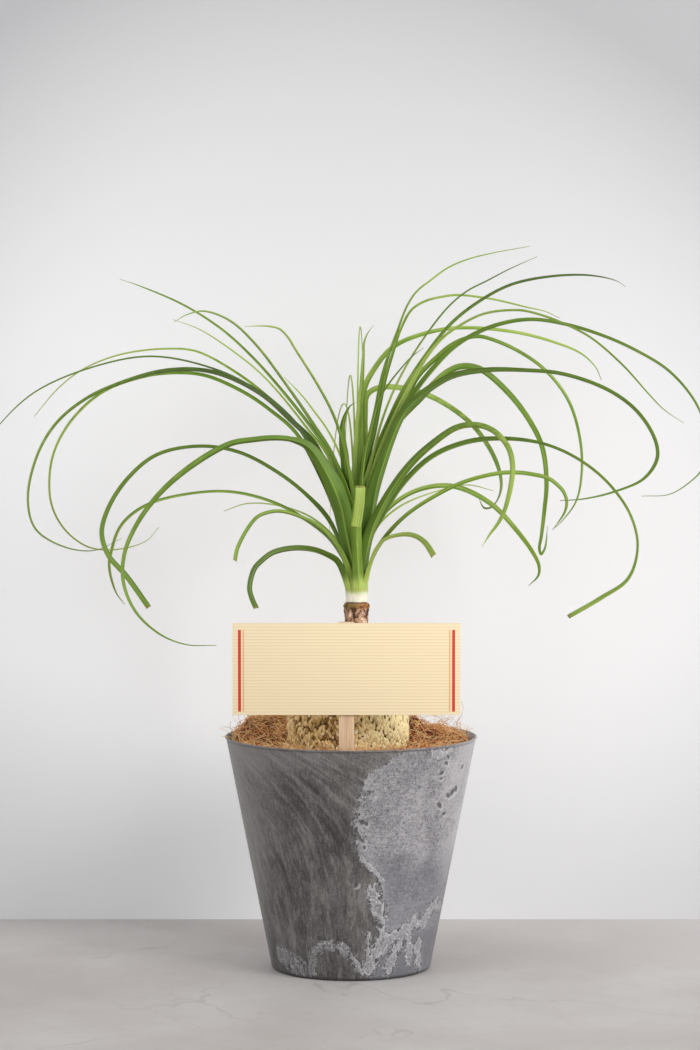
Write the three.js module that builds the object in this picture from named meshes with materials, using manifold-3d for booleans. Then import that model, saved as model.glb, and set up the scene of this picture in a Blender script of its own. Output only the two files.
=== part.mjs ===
// Potted ponytail palm: a marbled pot of soil under coir mulch, the swollen trunk that stands in it,
// its crown of long channelled leaves, and a bare striped display card on a wooden stake.
// Millimetres. +Z is up, the front is -Y, +X is to the right seen from the front.
// The origin is the centre of the pot's flat underside.
import * as THREE from 'three';
import { mergeVertices } from 'three/addons/utils/BufferGeometryUtils.js';
import Module from 'manifold-3d';

const wasm = await Module();
wasm.setup();

// ---- driving dimensions -------------------------------------------------------------------------

const CLEARANCE = 0.3;            // between pieces that rest in or on each other
const AXIS_RADIUS = 1e-3;         // a point nearer to the axis than this lies on it

const POT_HEIGHT = 247;
const POT_RIM_RADIUS = 135;
const POT_BASE_RADIUS = 85;
const POT_WALL = 6;
const POT_FLOOR = 9;
const POT_LIP_HEIGHT = 2.2;       // thin rounded band at the rim
const POT_LIP_DEPTH = 0.9;        // how far it stands out from the wall
const POT_FOOT_RADIUS = 3;        // rounding at the base corner

const SOIL_TOP = 222;
const MULCH_FRONT = 238;          // height of the coir in front of the trunk
const MULCH_BACK = 266;           // height of the mound beside and behind it
const MULCH_EDGE = 239;           // height where it meets the pot's wall
const MULCH_RELIEF = 1.6;
const STRAND_COUNT = 40;
const STRAND_RADIUS = 1.3;

const TRUNK_FOOT = 186;           // underside of the swollen base, in the soil
const BULB_RADIUS = 66;
const BULB_WIDEST = 250;
const STEM_RADIUS = 13;
const STEM_TOP = 392;
const BULB_OFFSET = -3.5;         // the bulb stands this far left of the pot's axis,
const STEM_OFFSET = 6;            // and the stem leans to this far right of it
const BARK_RELIEF = 1.1;

const CROWN_BASE = STEM_TOP + CLEARANCE;
const CROWN_RADIUS = 13.4;
const CROWN_TOP = 510;
const CROWN_RELIEF = 0.5;

const CARD_WIDTH = 236;
const CARD_HEIGHT = 93;
const CARD_THICKNESS = 3;
const CARD_CENTRE = [-4.7, -108.6, 330];
const STAKE_WIDTH = 16;
const STAKE_THICKNESS = 5;
const STAKE_TOP = 380;
const STAKE_FOOT = 174;           // point of the stake, in the soil
const STAKE_POINT_LENGTH = 26;

const BLADE_THICKNESS = 1.5;      // at the midrib of a leaf's base
const BLADE_THICKNESS_TIP = 0.9;
const BLADE_FOLD = 24;            // degrees that each half is folded up at the base
const BLADE_FOLD_TIP = 10;
const BLADE_TIP_WIDTH = 1.2;
const STEPS_PER_POINT = 2;        // blade sections between two points of a leaf's way

// A leaf's way is drawn as seen from the front, from this far in front of the stem and this high.
const VIEW_DISTANCE = 3355;
const VIEW_HEIGHT = 647;
const WAY_DATUM = 2;              // heights along a way count from this height

// Every leaf: the seat on the crown (bearing in degrees from +X towards +Y, and height), how far its
// tip lies behind (+) or in front (-) of the stem, the blade's greatest width, the twist towards the
// tip in degrees, whether the end is cut blunt, and its way as [right, up] points from the front.
// A leaf at the back has the bearing of its own upright plane instead of a tip depth, and its way
// is [distance from the stem, up] in that plane.
const LEAVES = {
  leaf_left_01: {
    seat: [208, 446], tipDepth: -70, width: 8, twist: 25,
    way: [[-52, 572], [-103, 618], [-147, 640], [-212, 653], [-274, 642], [-337, 615], [-376, 579],
      [-395, 551]],
  },
  leaf_left_02: {
    seat: [186, 458], tipDepth: -10, width: 12, twist: 40,
    way: [[-39, 557], [-65, 585], [-98, 614], [-147, 636], [-196, 638], [-245, 625], [-284, 607],
      [-315, 581], [-335, 547], [-345, 501], [-337, 469], [-307, 450], [-274, 446], [-245, 459]],
  },
  leaf_left_03: {
    seat: [168, 452], tipDepth: 70, width: 9, twist: 30,
    way: [[-55, 566], [-87, 596], [-119, 617], [-158, 633], [-196, 635], [-226, 630], [-261, 617],
      [-288, 596], [-309, 568], [-320, 538], [-320, 497], [-306, 469], [-281, 450], [-252, 447],
      [-219, 456], [-205, 471]],
  },
  leaf_left_04: {
    seat: [152, 464], tipDepth: 230, width: 9, twist: 30,
    way: [[-53, 573], [-95, 615], [-126, 638], [-164, 658], [-196, 661], [-245, 655], [-284, 640],
      [-311, 620], [-338, 589]],
  },
  leaf_left_05: {
    seat: [168, 486], tipDepth: 60, width: 8, twist: 35,
    way: [[-19, 542], [-41, 575], [-69, 611], [-104, 651], [-138, 682], [-179, 708], [-228, 729],
      [-246, 735]],
  },
  leaf_left_06: {
    seat: [212, 480], tipDepth: -110, width: 8, twist: 30,
    way: [[-18, 543], [-42, 583], [-70, 624], [-101, 665], [-129, 691], [-156, 701], [-173, 698],
      [-188, 690]],
  },
  leaf_left_07: {
    seat: [138, 478], tipDepth: 170, width: 6, twist: 20,
    way: [[-24, 545], [-49, 579], [-76, 613], [-101, 639], [-142, 670], [-164, 683], [-189, 692]],
  },
  leaf_left_08: {
    seat: [126, 494], tipDepth: 60, width: 5, twist: 20,
    way: [[-11, 546], [-26, 576], [-39, 594], [-52, 611], [-71, 631]],
  },
  leaf_left_09: {
    seat: [232, 492], tipDepth: -150, width: 8, twist: 30,
    way: [[-8, 557], [-19, 591], [-37, 625], [-59, 660], [-67, 673], [-76, 682], [-88, 685],
      [-113, 685]],
  },
  leaf_left_10: {
    seat: [262, 424], tipDepth: -130, width: 18, twist: 10,
    way: [[-4, 460], [-11, 494], [-22, 522], [-44, 556], [-62, 564], [-81, 566], [-105, 564],
      [-128, 560], [-166, 539], [-202, 509], [-228, 475], [-242, 442], [-243, 411], [-230, 380],
      [-204, 356], [-176, 345], [-144, 344]],
  },
  leaf_left_11: {
    seat: [184, 432], tipDepth: -30, width: 10, twist: 30, cut: true,
    way: [[-21, 474], [-48, 505], [-80, 530], [-121, 551], [-163, 557], [-207, 548], [-237, 524],
      [-258, 493], [-266, 465], [-259, 441], [-240, 419], [-216, 385]],
  },
  leaf_left_12: {
    seat: [158, 428], tipDepth: 90, width: 8, twist: 25,
    way: [[-21, 456], [-48, 478], [-80, 496], [-124, 508], [-169, 507], [-219, 494], [-245, 473],
      [-256, 444], [-258, 428], [-251, 401], [-242, 388]],
  },
  leaf_left_13: {
    seat: [228, 418], tipDepth: -130, width: 9, twist: 15, cut: true,
    way: [[-12, 446], [-32, 470], [-62, 485], [-80, 488], [-98, 483], [-107, 474], [-121, 449],
      [-124, 435]],
  },
  leaf_left_14: {
    seat: [206, 406], tipDepth: -60, width: 10, twist: 20, cut: true,
    way: [[-15, 433], [-27, 441], [-40, 446], [-55, 448], [-70, 447], [-84, 443], [-95, 435],
      [-103, 426], [-108, 407], [-106, 396], [-101, 384]],
  },
  leaf_top_01: {
    seat: [300, 402], tipDepth: -44, width: 13, twist: 0, cut: true,
    way: [[7, 433], [6, 471], [7, 492], [10, 515]],
  },
  leaf_top_02: {
    seat: [266, 498], tipDepth: -50, width: 10, twist: 0,
    way: [[-5, 530], [-7, 547], [-9, 563], [-9, 579], [-6, 591], [-1, 600], [5, 604]],
  },
  leaf_top_03: {
    seat: [84, 500], tipDepth: 40, width: 11, twist: 10,
    way: [[5, 522], [6, 547], [7, 571], [9, 596], [11, 619], [13, 652], [14, 668], [18, 678],
      [24, 686]],
  },
  leaf_right_01: {
    seat: [18, 500], tipDepth: 80, width: 6, twist: 20,
    way: [[17, 547], [22, 572], [27, 596], [33, 629], [41, 657], [48, 676], [60, 707], [70, 722],
      [85, 734], [103, 747], [124, 756], [147, 762], [190, 770]],
  },
  leaf_right_02: {
    seat: [44, 494], tipDepth: 170, width: 7, twist: 25,
    way: [[19, 547], [25, 572], [30, 598], [37, 631], [45, 658], [53, 682], [65, 703], [80, 712],
      [96, 716], [113, 718], [149, 714], [188, 705], [206, 701], [222, 694]],
  },
  leaf_right_03: {
    seat: [330, 490], tipDepth: -60, width: 7, twist: 20,
    way: [[24, 549], [34, 587], [51, 628], [74, 667], [103, 705], [123, 722], [146, 734],
      [169, 746], [198, 759]],
  },
  leaf_right_04: {
    seat: [356, 482], tipDepth: 0, width: 10, twist: 30,
    way: [[26, 544], [41, 584], [57, 618], [80, 654], [106, 687], [136, 711], [170, 729],
      [213, 738], [255, 739], [283, 733], [292, 727]],
  },
  leaf_right_05: {
    seat: [336, 472], tipDepth: -120, width: 8, twist: 25,
    way: [[29, 544], [44, 583], [60, 616], [82, 654], [97, 672], [110, 682], [141, 698], [177, 702],
      [195, 699], [226, 688], [255, 673], [289, 644], [319, 611], [334, 596], [355, 582]],
  },
  leaf_right_06: {
    seat: [352, 456], tipDepth: -60, width: 11, twist: 30,
    way: [[46, 577], [65, 610], [87, 639], [113, 665], [149, 684], [189, 692], [228, 687],
      [268, 675], [304, 659], [338, 638], [364, 609], [378, 580], [385, 556], [374, 532],
      [364, 521], [340, 506], [310, 504]],
  },
  leaf_right_07: {
    seat: [54, 488], tipDepth: 240, width: 9, twist: 30,
    way: [[13, 545], [12, 573], [14, 617], [24, 638], [44, 662], [75, 676], [113, 683], [172, 679],
      [213, 669], [245, 656], [261, 641], [267, 628]],
  },
  leaf_right_08: {
    seat: [66, 474], tipDepth: 210, width: 10, twist: 30,
    way: [[15, 560], [15, 590], [17, 611], [26, 618], [41, 620], [74, 614], [106, 598], [133, 575],
      [154, 541], [160, 515], [156, 499], [149, 492], [142, 492], [136, 503]],
  },
  leaf_right_09: {
    seat: [42, 460], tipDepth: 170, width: 10, twist: 30,
    way: [[28, 550], [50, 583], [74, 608], [88, 623], [100, 634], [113, 641], [126, 642],
      [139, 638], [165, 616], [188, 587], [203, 557], [208, 519], [206, 490], [203, 462],
      [201, 448], [203, 442], [207, 448], [210, 472]],
  },
  leaf_right_10: {
    seat: [326, 440], tipDepth: -150, width: 16, twist: 20,
    way: [[23, 498], [31, 530], [51, 584], [60, 598], [74, 611], [106, 631], [144, 638], [185, 638],
      [226, 634], [274, 617], [305, 594], [324, 564], [326, 544], [312, 523], [281, 509],
      [248, 501], [223, 499]],
  },
  leaf_right_11: {
    seat: [18, 468], tipDepth: 60, width: 8, twist: 25,
    way: [[28, 552], [51, 589], [62, 614], [72, 632], [93, 653], [106, 664], [120, 671], [133, 674],
      [146, 672], [177, 659], [208, 637], [232, 605], [244, 565], [246, 529], [240, 498],
      [223, 475], [215, 468]],
  },
  leaf_right_12: {
    seat: [310, 430], tipDepth: -190, width: 12, twist: 15,
    way: [[21, 466], [41, 507], [66, 541], [97, 568], [112, 577], [125, 580], [139, 579],
      [151, 574], [162, 564], [169, 552], [172, 532], [165, 493], [158, 477], [148, 463],
      [140, 450]],
  },
  leaf_right_13: {
    seat: [355, 431], tipDepth: -60, width: 11, twist: 30, cut: true,
    way: [[21, 460], [32, 480], [57, 518], [87, 546], [123, 561], [159, 565], [204, 560],
      [243, 543], [276, 516], [299, 482], [306, 449], [296, 416], [268, 396], [232, 375]],
  },
  leaf_right_14: {
    seat: [34, 434], tipDepth: 120, width: 9, twist: 25,
    way: [[22, 465], [43, 493], [68, 509], [95, 515], [118, 512], [150, 495], [177, 467],
      [197, 439], [201, 428], [200, 419], [190, 408]],
  },
  leaf_right_15: {
    seat: [9, 416], tipDepth: 30, width: 9, twist: 25,
    way: [[24, 440], [37, 460], [60, 484], [90, 504], [121, 519], [156, 528], [176, 529],
      [194, 527], [210, 523], [220, 516], [227, 508], [230, 498], [228, 487], [217, 470]],
  },
  leaf_right_16: {
    seat: [328, 410], tipDepth: -70, width: 9, twist: 15, cut: true,
    way: [[24, 441], [32, 454], [39, 459], [49, 462], [60, 463], [69, 461], [78, 455], [84, 447],
      [88, 440]],
  },
  leaf_right_17: {
    seat: [302, 486], tipDepth: -120, width: 5, twist: 10,
    way: [[14, 545], [20, 573], [29, 605], [42, 626], [54, 641], [64, 652], [77, 662]],
  },
  leaf_back_01: {
    seat: [90, 424], plane: 91, width: 11, twist: 20,
    way: [[17, 452], [36, 486], [64, 508], [97, 512], [130, 498], [160, 470], [182, 435], [194, 400]],
  },
  leaf_back_02: {
    seat: [104, 444], plane: 97, width: 11, twist: 20,
    way: [[18, 496], [34, 546], [60, 584], [96, 602], [136, 600], [178, 578], [214, 540],
      [240, 492], [250, 455]],
  },
  leaf_back_03: {
    seat: [96, 456], plane: 93, width: 9, twist: 20,
    way: [[17, 505], [34, 560], [60, 602], [96, 628], [138, 634], [182, 616], [220, 580],
      [248, 532], [260, 490]],
  },
  leaf_back_04: {
    seat: [132, 430], tipDepth: 200, width: 10, twist: 20,
    way: [[-9, 446], [-22, 464], [-44, 482], [-78, 494], [-112, 496], [-136, 488]],
  },
  leaf_back_05: {
    seat: [98, 482], plane: 88, width: 8, twist: 20,
    way: [[11, 530], [21, 585], [37, 632], [63, 668], [99, 686], [141, 686], [184, 670],
      [222, 640], [248, 610]],
  },
  leaf_back_06: {
    seat: [58, 436], tipDepth: 220, width: 10, twist: 20,
    way: [[19, 456], [32, 476], [54, 494], [88, 508], [124, 516], [152, 510]],
  },
};

// ---- materials ----------------------------------------------------------------------------------

const material = (color, roughness) => new THREE.MeshStandardMaterial({ color, roughness, metalness: 0 });
const POT_STONE = material(0x6f6a70, 0.45);
const SOIL_DARK = material(0x3a2a1e, 1.0);
const COIR_ORANGE = material(0x9a6234, 0.95);
const CORK_BARK = material(0xa58d5c, 0.9);
const SHEATH_GREEN = material(0xb9c07a, 0.7);
const LEAF_GREEN = material(0x4f7a2c, 0.5);
const CARD_CREAM = material(0xece4c8, 0.7);
const STAKE_WOOD = material(0xd8bd8c, 0.8);

// ---- small helpers ------------------------------------------------------------------------------

const degrees = (angle) => THREE.MathUtils.degToRad(angle);
const mix = (a, b, amount) => a + (b - a) * amount;
const smooth = (low, high, value) => THREE.MathUtils.smoothstep(value, low, high);

// Radius of a profile, given as [radius, height] points that climb, at one height.
function radiusAt(profile, height) {
  const upper = profile.findIndex((point) => point[1] > height);
  if (upper < 1) {
    return profile[upper === 0 ? 0 : profile.length - 1][0];
  }
  const [below, above] = [profile[upper - 1], profile[upper]];
  return mix(below[0], above[0], (height - below[1]) / (above[1] - below[1]));
}

// A closed body turned round the Z axis; relief moves each point sideways and upward in mm.
function turned(profile, segments, relief = null) {
  const points = profile.map(([radius, height]) => new THREE.Vector2(radius, height));
  const geometry = new THREE.LatheGeometry(points, segments).rotateX(Math.PI / 2);
  const position = geometry.attributes.position;
  for (let i = 0; relief && i < position.count; i += 1) {
    const [x, y, z] = [position.getX(i), position.getY(i), position.getZ(i)];
    const radius = Math.hypot(x, y);
    const { sideways, upward } = relief(Math.atan2(y, x), z, radius);
    const scale = radius > AXIS_RADIUS ? 1 + sideways / radius : 1;
    position.setXYZ(i, x * scale, y * scale, z + upward);
  }
  return closed(geometry);
}

// Shared vertices and nothing but positions, as a closed body has.
function closed(geometry) {
  geometry.deleteAttribute('normal');
  geometry.deleteAttribute('uv');
  const merged = mergeVertices(geometry, 1e-3);
  const index = merged.index.array;
  const kept = [];
  for (let i = 0; i < index.length; i += 3) {
    const [a, b, c] = [index[i], index[i + 1], index[i + 2]];
    if (a !== b && b !== c && c !== a) {
      kept.push(a, b, c);
    }
  }
  merged.setIndex(kept);
  return merged;
}

function toSolid(geometry) {
  return new wasm.Manifold(new wasm.Mesh({
    numProp: 3,
    vertProperties: Float32Array.from(geometry.attributes.position.array),
    triVerts: Uint32Array.from(geometry.index.array),
  }));
}

function fromSolid(solid) {
  const mesh = solid.getMesh();
  const geometry = new THREE.BufferGeometry();
  geometry.setAttribute('position', new THREE.BufferAttribute(Float32Array.from(mesh.vertProperties), 3));
  geometry.setIndex(Array.from(mesh.triVerts));
  return geometry;
}

// The main body of a solid, without the scraps that a cut leaves.
function largestPart(solid) {
  return solid.decompose().sort((a, b) => b.volume() - a.volume())[0];
}

function piece(name, geometry, look) {
  const mesh = new THREE.Mesh(geometry, look);
  mesh.name = name;
  return mesh;
}

// ---- pot, soil and mulch ------------------------------------------------------------------------

const wallRadius = (height) => mix(POT_BASE_RADIUS, POT_RIM_RADIUS - POT_LIP_DEPTH, height / POT_HEIGHT);
const innerRadius = (height) => wallRadius(height) - POT_WALL;

function potGeometry() {
  const lip = POT_HEIGHT - POT_LIP_HEIGHT;
  const foot = POT_FOOT_RADIUS;
  const profile = [
    [0, 0],
    [POT_BASE_RADIUS - foot, 0],
    [POT_BASE_RADIUS - foot * 0.3, foot * 0.3],
    [wallRadius(foot), foot],
    [wallRadius(lip * 0.5), lip * 0.5],
    [wallRadius(lip), lip],
    [wallRadius(lip) + POT_LIP_DEPTH, lip + 0.6],
    [POT_RIM_RADIUS, POT_HEIGHT - 0.8],
    [POT_RIM_RADIUS - 1, POT_HEIGHT],
    [innerRadius(POT_HEIGHT) + 1, POT_HEIGHT],
    [innerRadius(POT_HEIGHT) - 0.2, POT_HEIGHT - 1.2],
    [innerRadius(POT_FLOOR + 6), POT_FLOOR + 6],
    [innerRadius(POT_FLOOR) - 5, POT_FLOOR],
    [0, POT_FLOOR],
  ];
  return turned(profile, 64);
}

// The trunk's outline from the rounded foot in the soil, over the bulb, to the ragged collar.
const BULB_PROFILE = [
  [0, TRUNK_FOOT],
  [24, TRUNK_FOOT + 2],
  [45, TRUNK_FOOT + 10],
  [59, TRUNK_FOOT + 26],
  [BULB_RADIUS - 1, BULB_WIDEST - 20],
  [BULB_RADIUS, BULB_WIDEST],
  [BULB_RADIUS - 1, BULB_WIDEST + 14],
  [BULB_RADIUS - 4, BULB_WIDEST + 27],
  [BULB_RADIUS - 10, BULB_WIDEST + 40],
  [BULB_RADIUS - 19, BULB_WIDEST + 52],
  [BULB_RADIUS - 30, BULB_WIDEST + 64],
  [BULB_RADIUS - 40, BULB_WIDEST + 77],
  [STEM_RADIUS + 6, BULB_WIDEST + 92],
  [STEM_RADIUS + 2, BULB_WIDEST + 108],
  [STEM_RADIUS, BULB_WIDEST + 122],
  [STEM_RADIUS, STEM_TOP - 10],
  [STEM_RADIUS + 2.2, STEM_TOP - 6],
  [STEM_RADIUS + 1.4, STEM_TOP - 3],
  [STEM_RADIUS - 1.5, STEM_TOP],
  [0, STEM_TOP],
];

// Corky plates on the bulb, ring-shaped leaf scars on the stem; inward only, so it stays clear.
function barkRelief(angle, height, radius) {
  const plates = Math.sin(angle * 23 + Math.sin(height * 0.21) * 1.7) * Math.sin(height * 0.55 + angle * 5);
  const scars = Math.sin(height * 1.05 + Math.sin(angle * 3));
  const onStem = smooth(BULB_WIDEST + 80, BULB_WIDEST + 110, height);
  const level = mix(plates, scars, onStem);
  const buried = smooth(TRUNK_FOOT, TRUNK_FOOT + 30, height) * (height < STEM_TOP - 1 ? 1 : 0);
  const depth = BARK_RELIEF * (0.5 - 0.5 * level) * buried;
  return { sideways: radius > 1 ? -depth : 0, upward: 0 };
}

// The trunk stands off the pot's axis and leans over above the bulb.
function trunkOffset(height) {
  return mix(BULB_OFFSET, STEM_OFFSET, smooth(BULB_WIDEST + 25, STEM_TOP - 20, height));
}

function leaning(geometry) {
  const position = geometry.attributes.position;
  for (let i = 0; i < position.count; i += 1) {
    position.setX(i, position.getX(i) + trunkOffset(position.getZ(i)));
  }
  return geometry;
}

function trunkGeometry() {
  return leaning(turned(BULB_PROFILE, 46, barkRelief));
}

// The room that the trunk takes in the soil and the mulch.
function trunkHollow() {
  const grown = BULB_PROFILE
    .filter(([, height]) => height < BULB_WIDEST)
    .map(([radius, height]) => [radius > 0 ? radius + CLEARANCE : 0, height - CLEARANCE]);
  const [wide, top] = [BULB_RADIUS + CLEARANCE, MULCH_BACK + 20];
  return toSolid(leaning(turned([...grown, [wide, BULB_WIDEST], [wide, top], [0, top]], 46)));
}

function stakeGeometry(clearance) {
  const half = STAKE_WIDTH / 2 + clearance;
  const foot = STAKE_FOOT - clearance;
  const outline = new THREE.Shape([
    new THREE.Vector2(-half, STAKE_TOP),
    new THREE.Vector2(-half, foot + STAKE_POINT_LENGTH),
    new THREE.Vector2(-1, foot),
    new THREE.Vector2(1, foot),
    new THREE.Vector2(half, foot + STAKE_POINT_LENGTH),
    new THREE.Vector2(half, STAKE_TOP),
  ]);
  const depth = STAKE_THICKNESS + 2 * clearance;
  const front = CARD_CENTRE[1] + CARD_THICKNESS / 2 + CLEARANCE;
  const geometry = new THREE.ExtrudeGeometry(outline, { depth, bevelEnabled: false });
  geometry.rotateX(Math.PI / 2);
  geometry.translate(CARD_CENTRE[0], front + STAKE_THICKNESS + clearance, 0);
  return closed(geometry);
}

function soilGeometry() {
  const profile = [
    [0, POT_FLOOR + CLEARANCE],
    [innerRadius(POT_FLOOR) - 5 - 2 * CLEARANCE, POT_FLOOR + CLEARANCE],
    [innerRadius(POT_FLOOR + 6) - CLEARANCE, POT_FLOOR + 6],
    [innerRadius(SOIL_TOP) - CLEARANCE, SOIL_TOP],
    [0, SOIL_TOP],
  ];
  const fill = toSolid(turned(profile, 46)).subtract(trunkHollow());
  return fromSolid(fill.subtract(toSolid(stakeGeometry(CLEARANCE))));
}

// The coir's height: low in front, a mound beside and behind the trunk that falls to the wall,
// sooner on the right than on the left, and lumpy all over.
function mulchHeight(x, y) {
  const radius = Math.hypot(x, y);
  const angle = Math.atan2(y, x);
  const crest = mix(MULCH_FRONT, MULCH_BACK, smooth(-72, 0, y));
  const brow = mix(BULB_RADIUS + 32, BULB_RADIUS + 6, smooth(-60, 60, x));
  const fall = smooth(brow, innerRadius(POT_HEIGHT) + 6, radius);
  const lumps = Math.sin(angle * 7 + radius * 0.13) * Math.sin(radius * 0.31 + angle * 3)
    + 0.6 * Math.sin(angle * 17 - radius * 0.22);
  return mix(crest, MULCH_EDGE, fall) + MULCH_RELIEF * lumps;
}

// A bent three-sided strand lying on the mound, its middle sunk in and its ends lifting off it.
function strandSolid(random) {
  const angle = random() * Math.PI * 2;
  const radius = mix(BULB_RADIUS + 12, innerRadius(MULCH_EDGE) - 10, random());
  const bearing = angle + Math.PI / 2 + (random() - 0.5) * 1.6;
  const length = mix(14, 26, random());
  const bend = (random() - 0.5) * 7;
  const middle = new THREE.Vector3(Math.cos(angle) * radius, Math.sin(angle) * radius, 0);
  const along = new THREE.Vector3(Math.cos(bearing), Math.sin(bearing), 0);
  const across = new THREE.Vector3(-along.y, along.x, 0);
  const points = [-1, -0.5, 0, 0.5, 1].map((place) => {
    const point = middle.clone()
      .addScaledVector(along, place * length / 2)
      .addScaledVector(across, bend * (1 - place * place));
    point.z = mulchHeight(point.x, point.y) + 2.4 * Math.abs(place);
    return point;
  });
  const section = new THREE.Shape([90, 210, 330].map((turn) => new THREE.Vector2(
    Math.cos(degrees(turn)) * STRAND_RADIUS, Math.sin(degrees(turn)) * STRAND_RADIUS)));
  const path = new THREE.CatmullRomCurve3(points);
  return toSolid(closed(new THREE.ExtrudeGeometry(section, { steps: 4, extrudePath: path })));
}

function mulchGeometry() {
  const outer = (height) => innerRadius(height) - CLEARANCE;
  const foot = SOIL_TOP + CLEARANCE;
  const rings = [52, 40, 29, 18, 8, -4].map((step) => BULB_RADIUS + step);
  const profile = [
    [0, foot],
    [outer(foot), foot],
    [outer(MULCH_EDGE), MULCH_EDGE],
    ...rings.map((radius) => [radius, MULCH_BACK]),
    [0, MULCH_BACK],
  ];
  const relief = (angle, height, radius) => ({
    sideways: 0,
    upward: height > MULCH_BACK - 1
      ? mulchHeight(radius * Math.cos(angle), radius * Math.sin(angle)) - MULCH_BACK : 0,
  });
  let mound = toSolid(turned(profile, 48, relief));
  const random = seededRandom(7);
  for (let i = 0; i < STRAND_COUNT; i += 1) {
    mound = mound.add(strandSolid(random));
  }
  const [low, high] = [foot - 20, MULCH_BACK + 20];
  const inside = toSolid(turned([[0, low], [outer(low), low], [outer(high), high], [0, high]], 48));
  mound = mound.intersect(inside).subtract(trunkHollow()).subtract(toSolid(stakeGeometry(CLEARANCE)));
  return fromSolid(largestPart(mound));
}

// A repeatable row of numbers from 0 to 1.
function seededRandom(seed) {
  let state = seed;
  return () => {
    state = (state * 16807) % 2147483647;
    return state / 2147483647;
  };
}

// ---- crown and leaves ---------------------------------------------------------------------------

const CROWN_PROFILE = [
  [0, CROWN_BASE],
  [CROWN_RADIUS - 1.5, CROWN_BASE],
  [CROWN_RADIUS, CROWN_BASE + 8],
  [CROWN_RADIUS, CROWN_BASE + 34],
  [CROWN_RADIUS - 1, CROWN_BASE + 52],
  [CROWN_RADIUS - 3, CROWN_BASE + 70],
  [CROWN_RADIUS - 6, CROWN_BASE + 90],
  [CROWN_RADIUS - 9, CROWN_BASE + 106],
  [CROWN_RADIUS - 11.5, CROWN_TOP - 3],
  [0, CROWN_TOP],
];

// Overlapping sheath edges wind slowly round the crown, cut inward only.
function sheathRelief(angle, height, radius) {
  const edge = 0.5 + 0.5 * Math.sin(angle * 7 + (height - CROWN_BASE) * 0.09);
  return { sideways: radius > 3 ? -CROWN_RELIEF * edge : 0, upward: 0 };
}

function crownGeometry() {
  return turned(CROWN_PROFILE, 28, sheathRelief).translate(STEM_OFFSET, 0, 0);
}

// Where a leaf leaves the crown: its blade's edges just clear of the surface.
function seatPoint([bearing, height], halfWidth, thickness) {
  const clear = radiusAt(CROWN_PROFILE.slice(1), height) + CLEARANCE;
  const rise = halfWidth * Math.tan(degrees(BLADE_FOLD));
  const byEdges = rise + Math.sqrt(Math.max(clear * clear - halfWidth * halfWidth, 0));
  const radius = Math.max(byEdges, clear + thickness / 2);
  const out = degrees(bearing);
  return new THREE.Vector3(STEM_OFFSET + radius * Math.cos(out), radius * Math.sin(out), height);
}

// A leaf's points in space: its way from the front, carried back or forward as the leaf runs out,
// or its way in the leaf's own upright plane.
function leafPoints(leaf, seat) {
  if (leaf.plane !== undefined) {
    const out = degrees(leaf.plane);
    return [seat, ...leaf.way.map(([reach, up]) => (
      new THREE.Vector3(STEM_OFFSET + reach * Math.cos(out), reach * Math.sin(out), up)))];
  }
  const lengths = [0];
  const flat = [[seat.x, seat.z], ...leaf.way];
  for (let i = 1; i < flat.length; i += 1) {
    const run = Math.hypot(flat[i][0] - flat[i - 1][0], flat[i][1] - flat[i - 1][1]);
    lengths.push(lengths[i - 1] + run);
  }
  const total = lengths[lengths.length - 1];
  const points = leaf.way.map(([right, up], i) => {
    const depth = mix(seat.y, leaf.tipDepth, (lengths[i + 1] / total) ** 1.3);
    const spread = 1 + depth / VIEW_DISTANCE;
    const drop = VIEW_HEIGHT - WAY_DATUM - up;
    return new THREE.Vector3(right * spread, depth, VIEW_HEIGHT - drop * spread);
  });
  return [seat, ...points];
}

// Blade width along the leaf: narrow where it is seated, then full, then a long taper.
function bladeWidth(leaf, along) {
  const full = mix(0.45, 1, smooth(0, 0.16, along));
  const taper = leaf.cut ? mix(1, 0.5, along) : mix(1, 0.3, along) * (1 - along ** 6);
  return Math.max(leaf.width * full * taper, BLADE_TIP_WIDTH);
}

// A thin channelled blade: at every step a folded section with two edges, a midrib and a keel.
function leafGeometry(leaf) {
  const seat = seatPoint(leaf.seat, bladeWidth(leaf, 0) / 2, BLADE_THICKNESS);
  const curve = new THREE.CatmullRomCurve3(leafPoints(leaf, seat), false, 'centripetal');
  const steps = leaf.way.length * STEPS_PER_POINT;
  const bearing = degrees(leaf.seat[0]);
  const side = new THREE.Vector3(-Math.sin(bearing), Math.cos(bearing), 0);
  const corners = [];
  for (let i = 0; i <= steps; i += 1) {
    const along = i / steps;
    const centre = curve.getPoint(along);
    const forward = curve.getTangent(along);
    side.addScaledVector(forward, -side.dot(forward)).normalize();
    const turn = degrees(leaf.twist) * along;
    const across = side.clone().applyAxisAngle(forward, turn);
    const upward = new THREE.Vector3().crossVectors(across, forward).negate();
    const half = bladeWidth(leaf, along) / 2;
    const thick = mix(BLADE_THICKNESS, BLADE_THICKNESS_TIP, along) / 2;
    const rise = half * Math.tan(degrees(mix(BLADE_FOLD, BLADE_FOLD_TIP, along)));
    corners.push(
      centre.clone().addScaledVector(across, -half).addScaledVector(upward, rise),
      centre.clone().addScaledVector(upward, thick),
      centre.clone().addScaledVector(across, half).addScaledVector(upward, rise),
      centre.clone().addScaledVector(upward, -thick),
    );
  }
  return closedStrip(corners, steps);
}

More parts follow.
